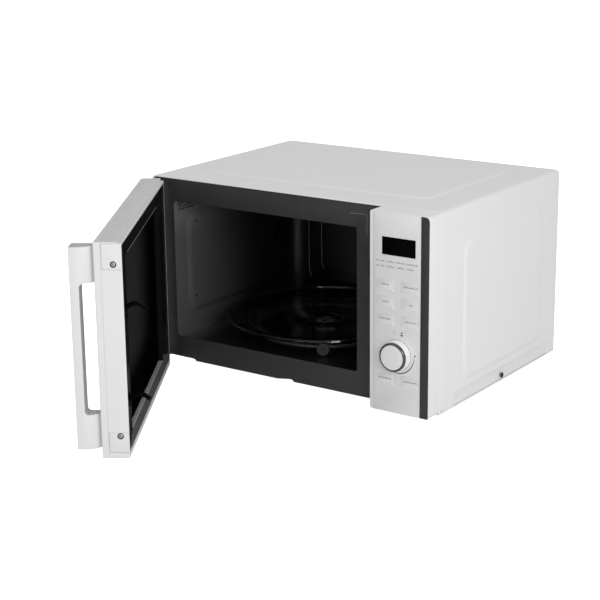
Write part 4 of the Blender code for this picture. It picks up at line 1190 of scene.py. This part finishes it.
def make_door_inside():
    """The black cover on the door's inner face, and the pane in its recess."""
    outer = (inset(POCKET_X, 0.3), inset(POCKET_Z, 0.3))
    inner = (INNER_X, INNER_Z)
    back = DOOR_BACK - 0.4
    floor = -1.7
    rings = [frame_ring(*outer, 2, floor, 8)]
    for amount, y in ((0.0, back - 0.8), (0.25, back - 0.25), (0.8, back)):
        rings.append(widened(*outer, -amount, 2, y, 8))
    for out, y in ((2.2, back), (1.7, back + 0.25), (1.1, back + 0.3), (0.5, back + 0.1), (0.1, back - 0.6)):
        rings.append(widened(*inner, out, 6 + out, y, 8))
    rings += [frame_ring(*inner, 6, y, 8) for y in (1.9, floor)]
    slot_x = around(sum(HOOK_X) / 2, 5.5)
    slots = [tile(slot_x, around(height + 1, 9), (-6, 9), 1.5, 4) for height in HOOK_HEIGHTS]
    cover = carved(lofted(rings, closed_loop=True), *slots)
    # the recess's upward ledge along its bottom takes the light grey, as a painted highlight
    for face in cover.faces:
        if abs(face.calc_center_median().z - INNER_Z[0]) < 0.6 and face.normal.z > 0.7:
            face.material_index = 1
    add(cover, rod([(-186, back, 58), (-186, back, 208)], 0.5))
    # a thin rod in a light finish along the top of the inner recess, as a painted highlight
    add(cover, rod([(-135, back + 0.2, 228.4), (96, back + 0.2, 228.4)], 0.3, 8), 2)
    piece("choke_cover", cover, "door", "black_gloss", "door_choke", angle=30,
          extra=("recess_painted_highlight", "line_painted_highlight"))

    pane = tile(inset(INNER_X, 0.3), inset(INNER_Z, 0.3), (-1.5, -1.0), 6, 8, 0.2)
    piece("inner_pane", pane, "door", "black_pane_painted_reflection", "inner_window")


def hook_outline(height):
    """Side view of one latch hook: an arm that arches over to a tip pointing down."""
    arm = ((-30, 0), (-14, 0), (2, 0.5), (8.5, 4.8), (16, 7.0), (24, 4.2), (30, -2.5), (32, -8))
    middle = smoothed(lifted(arm, height), 4)[4:-8]
    upper = []
    lower = []
    for i in range(1, len(middle) - 1):
        ahead = (Vector(middle[i + 1]) - Vector(middle[i - 1])).normalized()
        half = 2.2 if middle[i][0] < 22 else 1.7
        offset = Vector((-ahead.y, ahead.x)) * half
        upper.append(tuple(Vector(middle[i]) + offset))
        lower.append(tuple(Vector(middle[i]) - offset))
    return lower + upper[::-1]


def make_latch():
    bar = block(HOOK_X, (-18.9, -13.6), (HOOK_HEIGHTS[0] - 15.8, HOOK_HEIGHTS[1] + 15.8), 0.8, 0.5)
    for height in HOOK_HEIGHTS:
        add(bar, slab(hook_outline(height), "X", *HOOK_X, 0.5))
    piece("latch_hooks", bar, "latch", "latch_black", "latch_slider")


def make_handle():
    base = DOOR_FRONT - 0.3
    outline = [(HANDLE_X[0], base)] + arc((HANDLE_X[0] + 2.2, HANDLE_OUT + 2.2), 2.2, 180, 270, 6)
    outline += arc((HANDLE_X[1] - 1.4, HANDLE_OUT + 1.4), 1.4, 270, 360, 5)
    outline += [(136.0, -47.0), (135.7, -44.0), (135.2, -41.5), (134.4, -39.0), (133.4, -36.5),
                (132.2, -34.0), (130.2, -31.5), (127.8, -29.3), (126.4, base)]
    bar = slab(outline, "Z", *HANDLE_Z, 1.2, 4)
    grip = HANDLE_OUT + HANDLE_BAR
    gap = tile((grip, base + 6), FINGER_Z, (HANDLE_X[0] - 5, HANDLE_X[1] + 5), 4.5, 8, axis="X")
    bar = softened(carved(bar, gap), 0.7)
    # the grip's faces towards the door take the darker copy, as painted shade
    for face in bar.faces:
        if face.normal.y > 0.8 and face.calc_center_median().y < grip + 1:
            face.material_index = 1
    piece("handle_grip", bar, "door", "handle_plastic_painted_top_shade", "handle", angle=40, extra=("handle_inside_painted_shade",))


# ---------------- turntable

HOOP_RADIUS = 94.0
# Half the width and height of the hoop's section
HOOP_HALF = (3.5, 2.5)
# Each axle and its stop on the hoop: radius, and end's distance from the middle
AXLE = (1.55, 111)
STOP = (2.9, 103.8)
FIRST_ROLLER = -58
# The pegs under the tray, on a circle
PEG_RADIUS = 3
PEG_CIRCLE = 13.5
# The glass tray's section: radius and rise above its base, or distance inside its edge and rise above
# its base (TRAY_EDGE) or its rim (TRAY_LIP). A bead has a size as well.
TRAY_HEIGHT = 10.6
TRAY_UNDER = ((0, 0), (60, 0), (96, 0), (100, 0.3), (103.5, 0.7), (112, 0.9), (119, 2.9))
TRAY_UPPER = ((119.5, 7.2), (114, 5.2), (110, 4.5), (106.5, 4.4), (105.5, 4.9), (104.3, 4.9), (103.3, 4.2),
              (96, 4.0), (60, 4.0), (24, 4.0), (23.4, 4.2), (22.8, 4.0), (0, 4.0))
TRAY_EDGE = ((4.2, 6.4), (1.6, 7.4), (0.5, 8.0), (0, 9.0), (0.3, 10.0))
TRAY_LIP = ((1.2, 0), (2.3, -0.1), (3.4, -0.9), (4.4, -1.2))
TRAY_BEADS = ((1.2, 0.1, 0.55), (3.8, -0.8, 0.5), (8, -3.4, 0.35))
# A roller wheel's section: radius and distance from the turntable's axis
WHEEL = ((2.2, 104.4), (7.4, 104.4), (8.0, 104.7), (8.55, 105.6), (8.6, 106.2), (8.6, 107.8), (8.55, 108.4),
         (8.0, 109.3), (7.4, 109.6), (6.7, 109.6), (6.5, 109.0), (4.0, 109.0), (3.8, 109.6), (2.2, 109.6))


def make_tray():
    spans = drawn("turntable_glass")
    x, y, _ = centre_of("turntable_glass")
    radius = (spans[0][1] - spans[0][0]) / 2
    rim = spans[2][1]
    base = rim - TRAY_HEIGHT
    profile = lifted(TRAY_UNDER, base) + lifted([(radius - back, rise) for back, rise in TRAY_EDGE], base)
    profile += lifted([(radius - back, rise) for back, rise in TRAY_LIP], rim) + lifted(TRAY_UPPER, base)
    glass = turned(profile, "Z", x, y, 128)
    for u, v in circle(x, y, PEG_CIRCLE, 6)[1::2]:
        add(glass, cylinder(u, v, PEG_RADIUS, "Z", spans[2][0], base, 20, 0.5))
    piece("glass_tray", glass, "turntable", "clear_glass", "turntable_glass")
    beads = bmesh.new()
    for back, rise, size in TRAY_BEADS:
        add(beads, turned(circle(radius - back, rim + rise, size, 10), "Z", x, y, 128))
    piece("tray_beads", beads, "turntable", "tray_edge")


def make_rollers():
    """The roller ring and its three wheels."""
    x, y, _ = centre_of("turntable_glass")
    height = centre_of("roller_ring")[2]
    half_width, half_height = HOOP_HALF
    turns = [math.radians(angle) for angle in range(-150, 181, 30)]
    profile = [(HOOP_RADIUS + half_width * math.cos(turn), half_height * math.sin(turn)) for turn in turns]
    hoop = turned(lifted(profile, height), "Z", x, y, 96)
    for number in (1, 2, 3):
        angle = math.radians(FIRST_ROLLER + 120 * (number - 1))
        turn = Matrix.Translation((x, y, height)) @ Matrix.Rotation(angle, 4, "Z")
        arm = cylinder(0, 0, AXLE[0], "X", HOOP_RADIUS + 2, AXLE[1], 16, 0.4)
        stop = cylinder(0, 0, STOP[0], "X", HOOP_RADIUS + 2.6, STOP[1], 20, 0.4)
        for shape in (arm, stop):
            bmesh.ops.transform(shape, matrix=turn, verts=shape.verts)
            add(hoop, shape)
        # The shapes above are in mm, but a piece's place is in metres
        turn.translation *= MM
        piece(f"roller_wheel_{number}", turned(WHEEL, "X", 0, 0, 40), f"roller_{number}", "roller_plastic",
              f"roller_{number}", place=CASE_PLACE @ turn)
    piece("roller_hoop", hoop, "ring", "roller_plastic", "roller_ring")


# ---------------- the rest

CARRIED = {
    "galvanised": ("upper_hinge", "lower_hinge", "door_plate", "waveguide", "turntable_motor"),
    "bare_steel": ("magnetron", "transformer", "fan_motor"),
    "aluminium": ("capacitor",),
    "black_plastic": ("air_duct", "latch_board"),
    "grey_plastic": ("drive_coupler", "encoder", "switch_upper", "switch_lower", "fan_blade"),
    "board": ("control_board",),
    "clear_glass": ("cavity_lamp",),
}


def make_inner_parts():
    for look, nodes in CARRIED.items():
        carry_over(look, *nodes)


# ---------------- camera, light and floor

CAMERA_AZIMUTH = math.radians(35.143)
CAMERA_ELEVATION = math.radians(15.696)
CAMERA_ROLL = math.radians(-0.657)
CAMERA_LENS = 94.22
CAMERA_DISTANCE = 2118.1
CAMERA_AIM = Vector((-61.1, 110.45, 76.87))


def make_camera():
    data = bpy.data.cameras.new("camera")
    data.lens = CAMERA_LENS
    data.sensor_width = 36
    data.clip_start = 0.05
    data.clip_end = 50
    flat = math.cos(CAMERA_ELEVATION)
    back = Vector((math.sin(CAMERA_AZIMUTH) * flat, -math.cos(CAMERA_AZIMUTH) * flat,
                   math.sin(CAMERA_ELEVATION)))
    right = (-back).cross(Vector((0, 0, 1))).normalized()
    up = right.cross(-back)
    across = right * math.cos(CAMERA_ROLL) + up * math.sin(CAMERA_ROLL)
    upward = up * math.cos(CAMERA_ROLL) - right * math.sin(CAMERA_ROLL)
    turn = Matrix((across, upward, back)).transposed().to_4x4()
    spot = CASE_ORIGIN + (CAMERA_AIM + back * CAMERA_DISTANCE) * MM
    bpy.context.scene.camera = placed("camera", data, Matrix.Translation(spot) @ turn)


SKY = 0.70
KEY_PLACE = Vector((1.05, -0.75, 0.55))
KEY_AIM = Vector((0.1, 0.1, 0.12))
KEY_SIZE = 0.5
KEY_POWER = 5.0
FLOOR_REACH = 12.0
FLOOR_GREY = 0.9
FLOOR_GLOW = 1.0
WHITE = (1, 1, 1, 1)


def show_camera(tree, usual, shown, output):
    """Let the camera see one shader, and all other rays the usual one."""
    seen = node(tree, "ShaderNodeLightPath").outputs["Is Camera Ray"]
    mixed = node(tree, "ShaderNodeMixShader", {0: seen, 1: usual.outputs[0], 2: shown.outputs[0]})
    tree.links.new(mixed.outputs[0], tree.nodes[output].inputs["Surface"])


def make_light():
    """An even white sky that the camera sees as plain white, and one soft lamp."""
    world = bpy.data.worlds.new("studio")
    bpy.context.scene.world = world
    world.use_nodes = True
    tree = world.node_tree
    sky = tree.nodes["Background"]
    sky.inputs["Color"].default_value = WHITE
    sky.inputs["Strength"].default_value = SKY
    backdrop = node(tree, "ShaderNodeBackground", {"Color": WHITE, "Strength": 1.0})
    show_camera(tree, sky, backdrop, "World Output")

    data = bpy.data.lights.new("key", "AREA")
    data.shape = "RECTANGLE"
    data.size = KEY_SIZE
    data.size_y = KEY_SIZE
    data.energy = KEY_POWER
    light = placed("key", data)
    light.location = KEY_PLACE
    light.rotation_euler = (KEY_PLACE - KEY_AIM).to_track_quat("Z", "Y").to_euler()


def make_floor():
    """A white floor that glows for the camera only."""
    mesh = mesh_of("floor", grid([[(x, y, 0) for x in (-FLOOR_REACH, FLOOR_REACH)]
                                  for y in (-FLOOR_REACH, FLOOR_REACH)]))
    look = bpy.data.materials.new("floor")
    look.use_nodes = True
    tree = look.node_tree
    shader = tree.nodes["Principled BSDF"]
    shader.inputs["Base Color"].default_value = (FLOOR_GREY, FLOOR_GREY, FLOOR_GREY, 1)
    shader.inputs["Roughness"].default_value = 0.9
    glow = node(tree, "ShaderNodeEmission", {"Color": WHITE, "Strength": FLOOR_GLOW})
    lit = node(tree, "ShaderNodeAddShader", {0: shader.outputs[0], 1: glow.outputs[0]})
    show_camera(tree, shader, lit, "Material Output")
    mesh.materials.append(look)
    placed("floor", mesh)


def make_studio():
    make_camera()
    make_light()
    make_floor()
    view = bpy.context.scene.view_settings
    view.view_transform = "Standard"
    view.look = "None"


for make in (make_studio, make_case, make_case_fittings, make_floor_pan, make_back, make_front_plate,
             make_chamber, make_bezel, make_fascia, make_prints, make_buttons, make_knob, make_door_shell,
             make_corner_plates, make_door_inside, make_latch, make_handle, make_tray, make_rollers,
             make_inner_parts):
    make()
